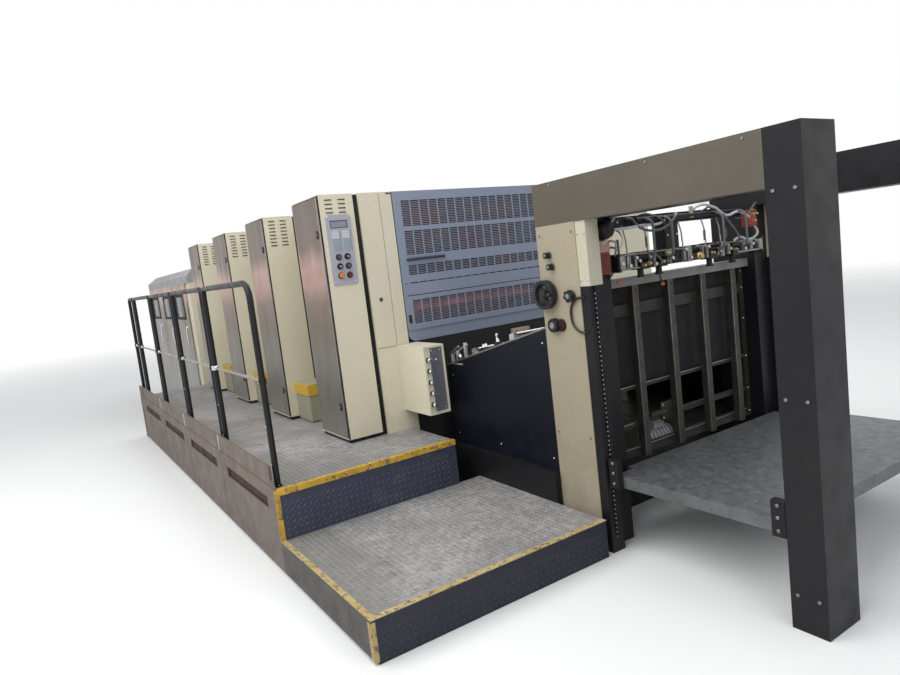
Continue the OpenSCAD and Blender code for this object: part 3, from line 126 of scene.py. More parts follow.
class Graph:
    """The nodes of one material, added by name and joined by socket."""

    def __init__(self, name: str) -> None:
        """Starts an empty material.

        Args:
            name: The material's name.
        """
        self.material = bpy.data.materials.new(name)
        self.material.use_nodes = True
        self.tree = self.material.node_tree
        self.tree.nodes.clear()
        self.shader = self.tree.nodes.new("ShaderNodeBsdfPrincipled")
        output = self.tree.nodes.new("ShaderNodeOutputMaterial")
        self.tree.links.new(self.shader.outputs[0], output.inputs["Surface"])
        place = self.tree.nodes.new("ShaderNodeTexCoord")
        self.place: Socket = place.outputs["Object"]
        parts = self.tree.nodes.new("ShaderNodeSeparateXYZ")
        self.tree.links.new(self.place, parts.inputs[0])
        self.along: dict[Axis, Socket] = {axis: parts.outputs[axis.value] for axis in Axis}

    def feed(self, target: Socket, value: object) -> None:
        """Gives a socket a link or a plain value.

        Args:
            target: The input socket.
            value: A socket to link from, a number or a colour.
        """
        if isinstance(value, bpy.types.NodeSocket):
            self.tree.links.new(value, target)
        elif isinstance(value, (int, float)):
            target.default_value = value
        else:
            target.default_value = (*value, 1.0)[: len(target.default_value)]

    def stretched(self, scale: Point) -> Socket:
        """Stretches the object's own coordinates.

        Args:
            scale: A factor for each axis.

        Returns:
            The stretched coordinates.
        """
        mapping = self.tree.nodes.new("ShaderNodeMapping")
        mapping.inputs["Scale"].default_value = scale
        self.tree.links.new(self.place, mapping.inputs["Vector"])
        return mapping.outputs[0]

    def noise(self, scale: float, detail: float = 3.0, rough: float = 0.5,
              place: Optional[Socket] = None) -> Socket:
        """Adds a cloudy pattern.

        Args:
            scale: Patches per metre.
            detail: Layers of finer pattern.
            rough: Weight of the finer layers.
            place: The coordinates to read, or None for the object's own.

        Returns:
            A socket from 0 to 1.
        """
        node = self.tree.nodes.new("ShaderNodeTexNoise")
        node.inputs["Scale"].default_value = scale
        node.inputs["Detail"].default_value = detail
        node.inputs["Roughness"].default_value = rough
        self.tree.links.new(place or self.place, node.inputs["Vector"])
        return node.outputs["Fac"]

    def cells(self, scale: float, place: Optional[Socket] = None) -> Socket:
        """Scatters points.

        Args:
            scale: Points per metre.
            place: The coordinates to read, or None for the object's own.

        Returns:
            The distance to the nearest point.
        """
        node = self.tree.nodes.new("ShaderNodeTexVoronoi")
        node.inputs["Scale"].default_value = scale
        self.tree.links.new(place or self.place, node.inputs["Vector"])
        return node.outputs["Distance"]

    def steps(self, value: Socket, *stops: tuple[float, object]) -> Socket:
        """Runs a value through a colour ramp.

        Args:
            value: A socket from 0 to 1.
            stops: Places on the ramp with a grey value or a colour for each.

        Returns:
            The ramp's colour.
        """
        node = self.tree.nodes.new("ShaderNodeValToRGB")
        ramp = node.color_ramp
        while len(ramp.elements) < len(stops):
            ramp.elements.new(1.0)
        for element, (at, shade) in zip(ramp.elements, stops):
            element.position = at
            grey = isinstance(shade, (int, float))
            element.color = (shade,) * 3 + (1.0,) if grey else (*shade, 1.0)
        self.tree.links.new(value, node.inputs[0])
        return node.outputs[0]

    def span(self, value: Socket, low: float, high: float, start: float = 0.0,
             end: float = 1.0) -> Socket:
        """Maps a value from one range to another, held at both ends.

        Args:
            value: The value.
            low: The value that gives start.
            high: The value that gives end.
            start: The result at low.
            end: The result at high.

        Returns:
            The mapped value.
        """
        node = self.tree.nodes.new("ShaderNodeMapRange")
        for socket, number in zip(node.inputs[1:5], (low, high, start, end)):
            socket.default_value = number
        self.tree.links.new(value, node.inputs[0])
        return node.outputs[0]

    def maths(self, kind: str, first: object, second: object = 0.0) -> Socket:
        """Joins two values.

        Args:
            kind: The Math node's operation.
            first: A socket or a number.
            second: A socket or a number.

        Returns:
            The result.
        """
        node = self.tree.nodes.new("ShaderNodeMath")
        node.operation = kind
        self.feed(node.inputs[0], first)
        self.feed(node.inputs[1], second)
        return node.outputs[0]

    def blend(self, share: object, first: object, second: object, kind: str = "MIX") -> Socket:
        """Mixes two colours.

        Args:
            share: How much of the second colour shows.
            first: The colour below.
            second: The colour above.
            kind: Blender's blend type.

        Returns:
            The mixed colour.
        """
        node = self.tree.nodes.new("ShaderNodeMix")
        node.data_type = "RGBA"
        node.blend_type = kind
        self.feed(node.inputs[0], share)
        self.feed(node.inputs[6], first)
        self.feed(node.inputs[7], second)
        return node.outputs[2]

    def relief(self, height: Socket, strength: float, depth: float) -> None:
        """Lets a height pattern tilt the surface's shading.

        Args:
            height: The pattern.
            strength: How much it counts.
            depth: The height of its peaks, in metres.
        """
        node = self.tree.nodes.new("ShaderNodeBump")
        node.inputs["Strength"].default_value = strength
        node.inputs["Distance"].default_value = depth
        self.tree.links.new(height, node.inputs["Height"])
        self.tree.links.new(node.outputs[0], self.shader.inputs["Normal"])

    def surface(self, colour: object, rough: object, metal: float = 0.0, coat: float = 0.0,
                shine: float = 0.5) -> None:
        """Sets the shader's main inputs.

        Args:
            colour: A socket or a colour.
            rough: A socket or a number.
            metal: How metallic it is.
            coat: The weight of its clear coat.
            shine: The level of its highlights.
        """
        self.feed(self.shader.inputs["Base Color"], colour)
        self.feed(self.shader.inputs["Roughness"], rough)
        self.shader.inputs["Specular IOR Level"].default_value = shine
        self.shader.inputs["Metallic"].default_value = metal
        self.shader.inputs["Coat Weight"].default_value = coat


@dataclass(frozen=True)
class Finish:
    """What a piece looks like, and the name of its slot."""

    name: str
    slot: str

    def make(self) -> bpy.types.Material:
        """Returns the finish as a material."""
        raise NotImplementedError


@dataclass(frozen=True)
class Paint(Finish):
    """Sprayed machine paint with dull patches, specks, and darkening in patches towards the bottom."""

    colour: Colour
    worn: Colour
    rough: float = 0.45
    patch: float = 2.0
    amount: float = 0.5
    low_darkening: float = 0.25
    low_darkening_top: float = 0.9
    orange_peel: float = 0.12
    coat: float = 0.0
    above: Optional[Colour] = None
    above_z: float = 0.0
    beyond: Optional[Colour] = None
    beyond_x: float = 0.0
    shine: float = 0.35

    def make(self) -> bpy.types.Material:
        """Returns the finish as a material."""
        g = Graph(self.name)
        cloud = g.steps(g.noise(self.patch, 6.0, 0.6), (0.38, 0.0), (0.72, 1.0))
        base = g.blend(g.maths("MULTIPLY", cloud, self.amount), self.colour, self.worn)
        if self.above:
            base = g.blend(g.span(g.along[Axis.Z], self.above_z, self.above_z + 0.001), base,
                           g.blend(cloud, self.above, toned(self.above, 1.2)))
        if self.beyond:
            base = g.blend(g.span(g.along[Axis.X], self.beyond_x, self.beyond_x + 0.001), base,
                           g.blend(cloud, self.beyond, toned(self.beyond, 1.25)))
        fine = g.steps(g.noise(55.0, 4.0, 0.7), (0.45, 1.0), (0.8, 0.9))
        base = g.blend(1.0, base, fine, "MULTIPLY")
        # Darkens the paint in patches towards the bottom.
        low = g.maths("MULTIPLY", g.span(g.along[Axis.Z], 0.0, self.low_darkening_top, 1.0, 0.0),
                      g.span(g.noise(7.0, 5.0, 0.65), 0.35, 0.75))
        base = g.blend(g.maths("MULTIPLY", low, self.low_darkening), base, toned(self.colour, 0.35))
        specks = g.span(g.cells(38.0), 0.03, 0.06, 0.5, 0.0)
        base = g.blend(g.maths("MULTIPLY", specks, g.span(g.noise(3.0), 0.5, 0.7)), base,
                       toned(self.worn, 0.5))
        rough = g.span(g.noise(9.0, 4.0), 0.3, 0.7, self.rough - 0.08, self.rough + 0.12)
        g.surface(base, rough, coat=self.coat, shine=self.shine)
        g.relief(g.noise(420.0, 2.0), self.orange_peel, 0.0006)
        return g.material


@dataclass(frozen=True)
class Brushed(Finish):
    """Stainless sheet brushed upwards, with smears, and painted reflection in bands of tint by height."""

    bands: tuple[tuple[float, Colour], ...]
    rough: float = 0.34
    low: float = 0.5
    high: float = 2.2

    def make(self) -> bpy.types.Material:
        """Returns the finish as a material."""
        g = Graph(self.name)
        lines = g.noise(1.0, 3.0, 0.6, g.stretched((420.0, 420.0, 2.2)))
        broad = g.noise(1.0, 3.0, 0.55, g.stretched((7.0, 7.0, 1.1)))
        sway = g.span(broad, 0.3, 0.7, -0.035, 0.035)
        # Painted reflection: the colour runs through bands by height.
        height = g.span(g.maths("ADD", g.along[Axis.Z], sway), self.low, self.high)
        stops = [((z - self.low) / (self.high - self.low), colour) for z, colour in self.bands]
        base = g.steps(height, *stops)
        base = g.blend(1.0, base, g.steps(lines, (0.3, 0.82), (0.7, 1.0)), "MULTIPLY")
        smear = g.span(g.noise(4.0, 5.0, 0.6), 0.55, 0.75, 0.0, 0.35)
        base = g.blend(smear, base, g.blend(1.0, base, (0.6, 0.6, 0.62), "MULTIPLY"))
        g.surface(base, g.span(broad, 0.3, 0.7, self.rough - 0.06, self.rough + 0.12), metal=0.7)
        g.relief(lines, 0.1, 0.0004)
        return g.material


@dataclass(frozen=True)
class Tread(Finish):
    """Painted tread plate, scuffed bare along the walking line, with random dark stains and, where a height is
    given, painted shade below it.
    """

    colour: Colour
    scuffed: Colour
    rough: float = 0.5
    amount: float = 0.8
    front_y: float = 0.0
    painted_shade_z: float = 0.0

    def make(self) -> bpy.types.Material:
        """Returns the finish as a material."""
        g = Graph(self.name)
        path = g.steps(g.noise(1.6, 7.0, 0.66), (0.36, 0.0), (0.64, 1.0))
        fine = g.steps(g.noise(26.0, 5.0, 0.7), (0.36, 0.25), (0.66, 1.0))
        share = g.maths("MULTIPLY", g.maths("MULTIPLY", path, fine), self.amount)
        base = g.blend(share, self.colour, self.scuffed)
        scratch = g.span(g.noise(1.0, 2.0, 0.5, g.stretched((60.0, 6.0, 6.0))), 0.62, 0.7, 0.0, 0.35)
        base = g.blend(scratch, base, self.scuffed)
        if self.front_y:
            edge = g.maths("ADD", g.along[Axis.Y], g.span(g.noise(2.2, 4.0), 0.3, 0.7, -0.12, 0.12))
            front = g.span(edge, self.front_y, self.front_y + 0.1, 0.55, 0.0)
            base = g.blend(front, base, tuple(c * f for c, f in zip(self.colour, (0.8, 0.82, 0.72))))
        # Painted shade: darker below the given height, where the low riser stands in shade.
        if self.painted_shade_z:
            shade = g.span(g.along[Axis.Z], self.painted_shade_z - 0.01, self.painted_shade_z, 0.4, 1.0)
            base = g.blend(1.0, base, shade, "MULTIPLY")
        stain = g.span(g.noise(3.3, 5.0, 0.7), 0.58, 0.72, 0.0, 0.55)
        base = g.blend(stain, base, toned(self.colour, 0.4))
        g.surface(base, g.span(fine, 0.2, 1.0, self.rough - 0.1, self.rough + 0.15), metal=0.2, shine=0.35)
        g.relief(g.noise(300.0, 3.0), 0.2, 0.0008)
        return g.material


@dataclass(frozen=True)
class Chipped(Finish):
    """Warning paint, trodden pale and dirty low down and nearly whole where no foot reaches it."""

    colour: Colour
    bare: Colour
    pale: Colour
    pale_top: float = 0.21
    whole_from: float = 0.6
    edge: float = 0.53

    def make(self) -> bpy.types.Material:
        """Returns the finish as a material."""
        g = Graph(self.name)
        height = g.along[Axis.Z]
        trodden = g.span(height, self.whole_from - 0.02, self.whole_from, 1.0, 0.12)
        chips = g.steps(g.noise(34.0, 9.0, 0.78), (self.edge, 0.0), (self.edge + 0.05, 1.0))
        rubs = g.steps(g.noise(6.0, 8.0, 0.75), (0.4, 0.0), (0.7, 1.0))
        ground = g.blend(g.span(height, self.pale_top, self.pale_top + 0.01), self.pale, self.colour)
        dirt = g.maths("MULTIPLY", g.maths("MULTIPLY", rubs, 0.75), trodden)
        dirty = g.blend(dirt, ground, toned(self.colour, 0.4))
        base = g.blend(g.maths("MULTIPLY", chips, trodden), dirty, self.bare)
        g.surface(base, g.span(rubs, 0.0, 1.0, 0.45, 0.68), shine=0.3)
        g.relief(g.maths("SUBTRACT", 1.0, chips), 0.35, 0.0008)
        return g.material


@dataclass(frozen=True)
class Metal(Finish):
    """Bare or plated metal with a faint bloom and fine marks."""

    colour: Colour
    rough: float = 0.3
    stained: float = 0.3
    grain: float = 160.0

    def make(self) -> bpy.types.Material:
        """Returns the finish as a material."""
        g = Graph(self.name)
        bloom = g.span(g.noise(14.0, 5.0, 0.65), 0.4, 0.72, 0.0, self.stained)
        base = g.blend(bloom, self.colour, toned(self.colour, 0.35))
        g.surface(base, g.span(g.noise(30.0, 4.0), 0.3, 0.7, self.rough, self.rough + 0.18), metal=0.9)
        g.relief(g.noise(self.grain, 3.0), 0.12, 0.0005)
        return g.material


@dataclass(frozen=True)
class Plastic(Finish):
    """Moulded plastic or rubber with a fine grain."""

    colour: Colour
    rough: float = 0.5
    grain: float = 500.0
    dust: float = 0.15
    coat: float = 0.0

    def make(self) -> bpy.types.Material:
        """Returns the finish as a material."""
        g = Graph(self.name)
        dust = g.span(g.noise(8.0, 5.0, 0.7), 0.45, 0.75, 0.0, self.dust)
        base = g.blend(dust, self.colour, tuple(0.5 * c + 0.18 for c in self.colour))
        g.surface(base, g.span(g.noise(20.0), 0.3, 0.7, self.rough, self.rough + 0.15), coat=self.coat,
                  shine=0.35)
        g.relief(g.noise(self.grain, 2.0), 0.18, 0.0004)
        return g.material


@dataclass(frozen=True)
class Rollers(Finish):
    """Rubber and steel rollers: reddish low down with a band of painted bright red highlight above, darker and
    bluer towards the top.
    """

    low: Colour
    high: Colour
    bright: Colour
    painted_glow_low: float = 1.315
    turn_z: float = 1.395

    def make(self) -> bpy.types.Material:
        """Returns the finish as a material."""
        g = Graph(self.name)
        share = g.span(g.along[Axis.Z], self.turn_z, self.turn_z + 0.12)
        # Painted highlight: a bright red band that stands for light on the roller behind the slats.
        glow = g.span(g.along[Axis.Z], self.painted_glow_low, self.painted_glow_low + 0.015)
        base = g.blend(share, g.blend(glow, self.low, self.bright), self.high)
        ink = g.span(g.noise(5.0, 5.0, 0.6), 0.45, 0.65, 0.0, 0.6)
        base = g.blend(ink, base, toned(self.high, 0.3))
        g.surface(base, g.span(g.noise(12.0), 0.3, 0.7, 0.22, 0.4), coat=0.3)
        g.relief(g.noise(200.0), 0.1, 0.0005)
        return g.material


# Painted reflection on the brushed stainless, by height: brown and grey bands with a pink highlight band at
# about 1.5 to 1.75 m.
DOOR_REFLECTION_BANDS = (
    (0.5, (0.33, 0.315, 0.285)), (0.95, (0.25, 0.23, 0.195)), (1.3, (0.205, 0.17, 0.13)),
    (1.47, (0.26, 0.195, 0.155)), (1.6, (0.52, 0.335, 0.285)), (1.72, (0.52, 0.335, 0.285)),
    (1.85, (0.2, 0.16, 0.13)), (2.2, (0.165, 0.135, 0.11)))

CREAM = Paint("cream_enamel", "cream_paint", (0.66, 0.615, 0.475), (0.58, 0.53, 0.395), rough=0.42,
              amount=0.45, low_darkening=0.5)
# A darker, yellower copy of the cream: painted shade on the feeder, which stands in shade.
FEEDER_SHADED_CREAM = Paint("feeder_cream_painted_shade", "cream_paint", (0.35, 0.305, 0.22), (0.29, 0.245, 0.17), rough=0.48,
                   amount=0.5, low_darkening=0.5)
# The header's cream turns dark brown above 1.762 m: painted shade, as the header stands in shade.
HEADER = Paint("header_cream_painted_shade", "cream_paint", (0.5, 0.475, 0.36), (0.42, 0.4, 0.3), rough=0.42,
               amount=0.5, low_darkening=0.3, above=(0.092, 0.078, 0.059), above_z=1.762)
STAINLESS = Brushed("brushed_stainless_painted_reflection", "stainless", DOOR_REFLECTION_BANDS)
SLATE = Paint("slate_enamel", "slate_paint", (0.225, 0.265, 0.345), (0.27, 0.285, 0.36), rough=0.4, amount=0.6,
              low_darkening=0.1)
# The slats' pinkish second tone in patches is painted reflection of the red rollers.
SLAT = Paint("slat_enamel_painted_reflection", "slate_paint", (0.225, 0.26, 0.33), (0.3, 0.2, 0.225), rough=0.4, amount=0.8,
             patch=3.4, low_darkening=0.0)
BLACK = Paint("black_enamel", "black_paint", (0.008, 0.008, 0.01), (0.016, 0.0155, 0.016), rough=0.4,
              amount=0.6, low_darkening=0.2, shine=0.25)
GLOSS = Paint("navy_gloss", "dark_panel", (0.004, 0.0055, 0.011), (0.007, 0.009, 0.015), rough=0.42,
              amount=0.5, low_darkening=0.2, shine=0.2)
# The pile's front wall is near black as painted shade, since the bay behind the bars stands in shade.
WALL = Paint("olive_enamel_painted_shade", "wall_paint", (0.03, 0.03, 0.022), (0.016, 0.016, 0.014), rough=0.45,
             amount=0.7, low_darkening=0.2, above=(0.19, 0.19, 0.175), above_z=1.385, shine=0.3)
GREY = Paint("grey_enamel", "grey_paint", (0.3, 0.31, 0.32), (0.24, 0.25, 0.26), rough=0.45, amount=0.5,
             low_darkening=0.35)
SKIRT = Paint("skirt_enamel", "skirt_paint", (0.13, 0.102, 0.08), (0.098, 0.08, 0.066), rough=0.5,
              amount=0.6, low_darkening=0.45, low_darkening_top=0.5, beyond=(0.055, 0.052, 0.045), beyond_x=1.158, shine=0.25)
DECK = Tread("deck_plate", "tread_plate", (0.19, 0.185, 0.18), (0.45, 0.435, 0.425), amount=0.9, front_y=-2.12)
RISER = Tread("riser_plate", "tread_plate", (0.04, 0.046, 0.072), (0.085, 0.09, 0.115), amount=0.35,
              painted_shade_z=0.202)
YELLOW = Chipped("edge_yellow", "yellow_paint", (0.6, 0.37, 0.045), (0.11, 0.09, 0.07), (0.48, 0.38, 0.19))
STEP_CREAM = Paint("step_enamel", "cream_paint", (0.33, 0.32, 0.235), (0.24, 0.23, 0.165), rough=0.5,
                   amount=0.6, low_darkening=0.5)
CHROME = Metal("polished_steel", "chrome_knob", (0.72, 0.72, 0.73), rough=0.14, stained=0.15)
STUD = Tread("worn_studs", "tread_plate", (0.245, 0.24, 0.235), (0.44, 0.43, 0.42), rough=0.42, front_y=-2.12)
DARK_STUD = Tread("riser_studs", "tread_plate", (0.055, 0.065, 0.105), (0.1, 0.11, 0.15), rough=0.4,
                  painted_shade_z=0.202)
STEEL = Metal("bare_steel", "bare_steel", (0.3, 0.3, 0.3), rough=0.38, stained=0.5)
LIGHT_STEEL = Metal("light_steel", "bare_steel", (0.62, 0.61, 0.58), rough=0.34, stained=0.25)
BRASS = Metal("brass", "bare_steel", (0.58, 0.42, 0.17), rough=0.28, stained=0.3)
PILE_PLATE = Metal("pile_plate", "bare_steel", (0.2, 0.205, 0.21), rough=0.5, stained=0.45, grain=60.0)
EDGE_STEEL = Metal("edge_steel", "stainless", (0.34, 0.3, 0.265), rough=0.42, stained=0.3)
WORN_STEEL = Metal("worn_steel", "bare_steel", (0.3, 0.29, 0.27), rough=0.38, stained=0.5)
# The guide bars' dark colour is painted shade, as they stand in the shaded pile bay.
GUIDE = Metal("guide_bar", "bare_steel", (0.095, 0.088, 0.076), rough=0.5, stained=0.4)
CHAIN = Metal("chain_plate", "bare_steel", (0.035, 0.035, 0.037), rough=0.5, stained=0.4)
RAIL_ROD = Metal("rail_rod", "chrome_knob", (0.36, 0.33, 0.29), rough=0.3, stained=0.5)
NAVY = Paint("navy_enamel", "slate_paint", (0.035, 0.045, 0.07), (0.05, 0.055, 0.075), rough=0.35)
HOUSING = Paint("housing_enamel", "grey_paint", (0.018, 0.018, 0.02), (0.028, 0.028, 0.03), rough=0.5,
                amount=0.6, low_darkening=0.0, above=(0.27, 0.27, 0.27), above_z=2.16, shine=0.25)
INNER_PANEL = Paint("inner_panel", "dark_panel", (0.013, 0.013, 0.0145), (0.02, 0.02, 0.021), rough=0.6,
                    amount=0.6, low_darkening=0.1, shine=0.2)
BOX_PLATE = Paint("box_plate", "grey_paint", (0.125, 0.132, 0.165), (0.1, 0.1, 0.11), rough=0.35, amount=0.6)
OLIVE = Paint("olive_brown", "cream_paint", (0.085, 0.075, 0.05), (0.06, 0.05, 0.035), rough=0.5)
ROLLER = Rollers("ink_roller", "roller_rubber", (0.035, 0.012, 0.012), (0.012, 0.011, 0.014),
                 (0.95, 0.19, 0.14))
PANEL = Plastic("panel_plate", "panel_plate", (0.37, 0.365, 0.42), rough=0.42)
KNOB = Plastic("black_plastic", "knob_plastic", (0.009, 0.009, 0.01), rough=0.38)
LIGHT_KEY = Plastic("light_key", "panel_plate", (0.62, 0.62, 0.64), rough=0.45)
ORANGE_KEY = Plastic("orange_key", "red_paint", (0.6, 0.2, 0.05), rough=0.35)
MAROON_KEY = Plastic("maroon_key", "red_paint", (0.1, 0.02, 0.02), rough=0.38)
BLUE_KEY = Plastic("blue_key", "panel_plate", (0.06, 0.07, 0.095), rough=0.4, dust=0.05)
TEAL_KEY = Plastic("teal_key", "panel_plate", (0.24, 0.32, 0.36), rough=0.45)
LCD = Plastic("display_glass", "panel_plate", (0.24, 0.235, 0.3), rough=0.16, dust=0.05)
GLASS = Plastic("screen_glass", "dark_panel", (0.02, 0.025, 0.028), rough=0.12, dust=0.08)
# Dark maroon; in the grip slots it is painted shade.
MAROON = Paint("maroon_and_slot_shade", "skirt_paint", (0.03, 0.013, 0.011), (0.042, 0.019, 0.015), rough=0.6,
               shine=0.15)
PINK = Paint("pink_cover", "red_paint", (0.42, 0.25, 0.22), (0.36, 0.21, 0.18), rough=0.45)
RUST_RED = Paint("fin_enamel", "red_paint", (0.13, 0.045, 0.032), (0.09, 0.035, 0.026), rough=0.45)
TAPE = Plastic("tape_web", "tape_rubber", (0.33, 0.31, 0.26), rough=0.75, grain=900.0, dust=0.3)
RED = Paint("red_enamel", "red_paint", (0.3, 0.035, 0.025), (0.2, 0.03, 0.025), rough=0.4)
CLIP = Plastic("orange_clip", "red_paint", (0.62, 0.11, 0.03), rough=0.4)
HOSE = Plastic("hose_rubber", "hose_rubber", (0.085, 0.087, 0.095), rough=0.35)
PALE_HOSE = Plastic("pale_hose", "hose_rubber", (0.42, 0.42, 0.41), rough=0.4)
SEAL = Plastic("rubber_seal", "knob_plastic", (0.012, 0.012, 0.013), rough=0.7)


@dataclass
class Wardrobe:
    """Makes each finish once and dresses pieces with it."""

    made: dict[str, bpy.types.Material] = field(default_factory=dict)

    def material(self, finish: Finish) -> bpy.types.Material:
        """Returns the material of a finish, made on its first use."""
        if finish.name not in self.made:
            self.made[finish.name] = finish.make()
        return self.made[finish.name]

    def dress(self, piece: bpy.types.Object, finish: Finish) -> None:
        """Gives a piece one finish all over.

        Args:
            piece: The piece.
            finish: Its finish.
        """
        material = self.material(finish)
        if not piece.data.materials:
            piece.data.materials.append(material)
        for index in range(len(piece.data.materials)):
            piece.data.materials[index] = material


# Studio


@dataclass
class Studio:
    """A pale floor, a white surround, soft lamps and the camera."""

    eye: Point = (4.733, -3.28, 1.621)
    yaw: float = 57.849
    pitch: float = 6.294
    roll: float = 6.763
    lens: float = 26.417
    floor_half: float = 60.0
    lamps: tuple[tuple[str, Point, Point, float, float], ...] = (
        ("lamp_over_gallery", (1.5, -5.5, 6.5), (0.0, -1.0, 0.6), 7.0, 520.0),
        ("lamp_over_press", (-3.0, 2.5, 6.5), (0.0, 0.0, 0.5), 7.0, 300.0),
        ("lamp_feeder_side", (7.5, -1.5, 4.0), (1.0, -0.5, 1.0), 4.0, 110.0),
    )

    def build(self) -> None:
        """Adds the camera, the lamps, the floor and the world."""
        self.add_camera()
        for name, place, target, size, power in self.lamps:
            self.add_lamp(name, place, target, size, power)
        self.add_floor()
        self.add_world()

    def add_camera(self) -> None:
        """Adds the camera at the photographer's eye."""
        yaw, pitch, roll = (math.radians(a) for a in (self.yaw, self.pitch, self.roll))
        ahead = Vector((-math.sin(yaw) * math.cos(pitch), math.cos(yaw) * math.cos(pitch), -math.sin(pitch)))
        right = Vector((math.cos(yaw), math.sin(yaw), 0.0))
        down = ahead.cross(right)
        rolled_right = math.cos(roll) * right + math.sin(roll) * down
        rolled_down = -math.sin(roll) * right + math.cos(roll) * down
        data = bpy.data.cameras.new("camera")
        data.lens = self.lens
        data.sensor_width = 36.0
        data.clip_end = 300.0
        camera = bpy.data.objects.new("camera", data)
        columns = (rolled_right, -rolled_down, -ahead)
        turn = Matrix([[column[row] for column in columns] for row in range(3)]).to_4x4()
        camera.matrix_world = Matrix.Translation(self.eye) @ turn
        bpy.context.scene.collection.objects.link(camera)
        bpy.context.scene.camera = camera

    def add_lamp(self, name: str, place: Point, target: Point, size: float, power: float) -> None:
        """Adds one square soft lamp.

        Args:
            name: The lamp's name.
            place: Where it hangs.
            target: The point it faces.
            size: Its side.
            power: Its power in watts.
        """
        data = bpy.data.lights.new(name, "AREA")
        data.size = size
        data.energy = power
        lamp = bpy.data.objects.new(name, data)
        lamp.location = place
        lamp.rotation_euler = (Vector(target) - Vector(place)).to_track_quat("-Z", "Y").to_euler()
        bpy.context.scene.collection.objects.link(lamp)

    def add_floor(self) -> None:
        """Adds the pale floor, which fades into the white surround far away."""
        bpy.ops.mesh.primitive_plane_add(size=2 * self.floor_half, location=(0.0, 0.0, -0.001))
        floor = bpy.context.object
        floor.name = "studio_floor"
        bpy.ops.object.transform_apply(location=True, rotation=True, scale=True)
        g = Graph("studio_floor")
        g.surface((0.8, 0.8, 0.79), 0.7)
        g.relief(g.noise(3.0), 0.02, 0.001)
        tree = g.tree
        paths = tree.nodes.new("ShaderNodeLightPath")
        glow = tree.nodes.new("ShaderNodeEmission")
        mixer = tree.nodes.new("ShaderNodeMixShader")
        length = tree.nodes.new("ShaderNodeVectorMath")
        length.operation = "LENGTH"
        tree.links.new(g.place, length.inputs[0])
        far = g.span(length.outputs["Value"], 6.0, 22.0)
        seen = g.maths("MAXIMUM", paths.outputs["Is Camera Ray"], paths.outputs["Is Glossy Ray"])
        tree.links.new(g.maths("MULTIPLY", far, seen), mixer.inputs[0])
        tree.links.new(g.shader.outputs[0], mixer.inputs[1])
        tree.links.new(glow.outputs[0], mixer.inputs[2])
        output = next(n for n in tree.nodes if n.type == "OUTPUT_MATERIAL")
        tree.links.new(mixer.outputs[0], output.inputs["Surface"])
        floor.data.materials.append(g.material)

    def add_world(self) -> None:
        """Sets a soft grey light all round that the camera and mirrors see as white."""
        world = bpy.data.worlds.new("surround")
        world.use_nodes = True
        bpy.context.scene.world = world
        tree = world.node_tree
        tree.nodes.clear()
        paths = tree.nodes.new("ShaderNodeLightPath")
        soft = tree.nodes.new("ShaderNodeBackground")
        soft.inputs["Color"].default_value = (0.92, 0.95, 1.0, 1.0)
        soft.inputs["Strength"].default_value = 0.55
        white = tree.nodes.new("ShaderNodeBackground")
        white.inputs["Color"].default_value = (1.0, 1.0, 1.0, 1.0)
        white.inputs["Strength"].default_value = 1.0
        mixer = tree.nodes.new("ShaderNodeMixShader")
        output = tree.nodes.new("ShaderNodeOutputWorld")
        seen = paths.outputs["Is Camera Ray"]
        for ray in ("Is Glossy Ray", "Is Transmission Ray"):
            either = tree.nodes.new("ShaderNodeMath")
            either.operation = "MAXIMUM"
            tree.links.new(seen, either.inputs[0])
            tree.links.new(paths.outputs[ray], either.inputs[1])
            seen = either.outputs[0]
        tree.links.new(seen, mixer.inputs[0])
        tree.links.new(soft.outputs[0], mixer.inputs[1])
        tree.links.new(white.outputs[0], mixer.inputs[2])
        tree.links.new(mixer.outputs[0], output.inputs["Surface"])


@dataclass
class FrameLooks:
    """Dresses the frame's own pieces."""

    wardrobe: Wardrobe
    finishes: dict[str, Finish] = field(default_factory=lambda: {
        "side_covers": CREAM, "drive_covers": CREAM, "guard_slats": SLAT, "ink_rollers": ROLLER,
        # Black on column_gap_strips and column_plinths is painted shade: dark sheets in the gaps between units
        # and a dark line along the columns' feet.
        "footboards": DECK, "column_gap_strips": BLACK, "column_plinths": BLACK, "control_panel": PANEL,
        "control_box": CREAM, "control_knobs": CHROME, "gallery_deck": DECK, "gallery_ribs": BLACK,
        "gallery_risers": RISER, "gallery_skirts": SKIRT, "edge_strips": YELLOW, "handrails": BLACK,
        "handrail_rods": RAIL_ROD, "alcove_steps": STEP_CREAM, "feed_base": BLACK, "feed_side_panels": GLOSS,
        "feed_rails": STEEL, "feed_board": STEEL, "feed_tapes": TAPE, "hold_down_rods": CHROME,
        "feeder_columns": FEEDER_SHADED_CREAM, "feeder_headers": HEADER, "feeder_posts": BLACK,
        "feeder_frames": BLACK, "cable_loop": KNOB, "pile_lugs": BLACK,
        "hoist_chains": CHAIN, "pile_table": PILE_PLATE, "pile_front_wall": WALL, "wall_panel": INNER_PANEL,
        "pile_guide_bars": GUIDE, "hoist_motor": GREY, "suction_head": BLACK, "valve_block": RED,
        "air_hoses": HOSE, "feeder_handwheel": KNOB, "feeder_knobs": KNOB, "delivery_frame": CREAM,
        "delivery_side_panels": STAINLESS, "delivery_hood": GREY,
    })
    unit_finishes: dict[str, Finish] = field(default_factory=lambda: {
        "housing": HOUSING, "guard": SLATE, "column": CREAM, "door": STAINLESS,
    })

    def dress(self, nodes: dict[str, bpy.types.Object]) -> None:
        """Gives every node of the frame its finish.

        Args:
            nodes: The frame's nodes by name.
        """
        for name, node in nodes.items():
            finish = self.finishes.get(name) or self.unit_finishes[name.split("_")[-1]]
            self.wardrobe.dress(node, finish)


# Fittings


@dataclass(frozen=True)
class Head:
    """The low head of a screw or bolt, with six sides or round."""

    radius: float
    finish: Finish
    height: float = 0.003
    sides: int = 12


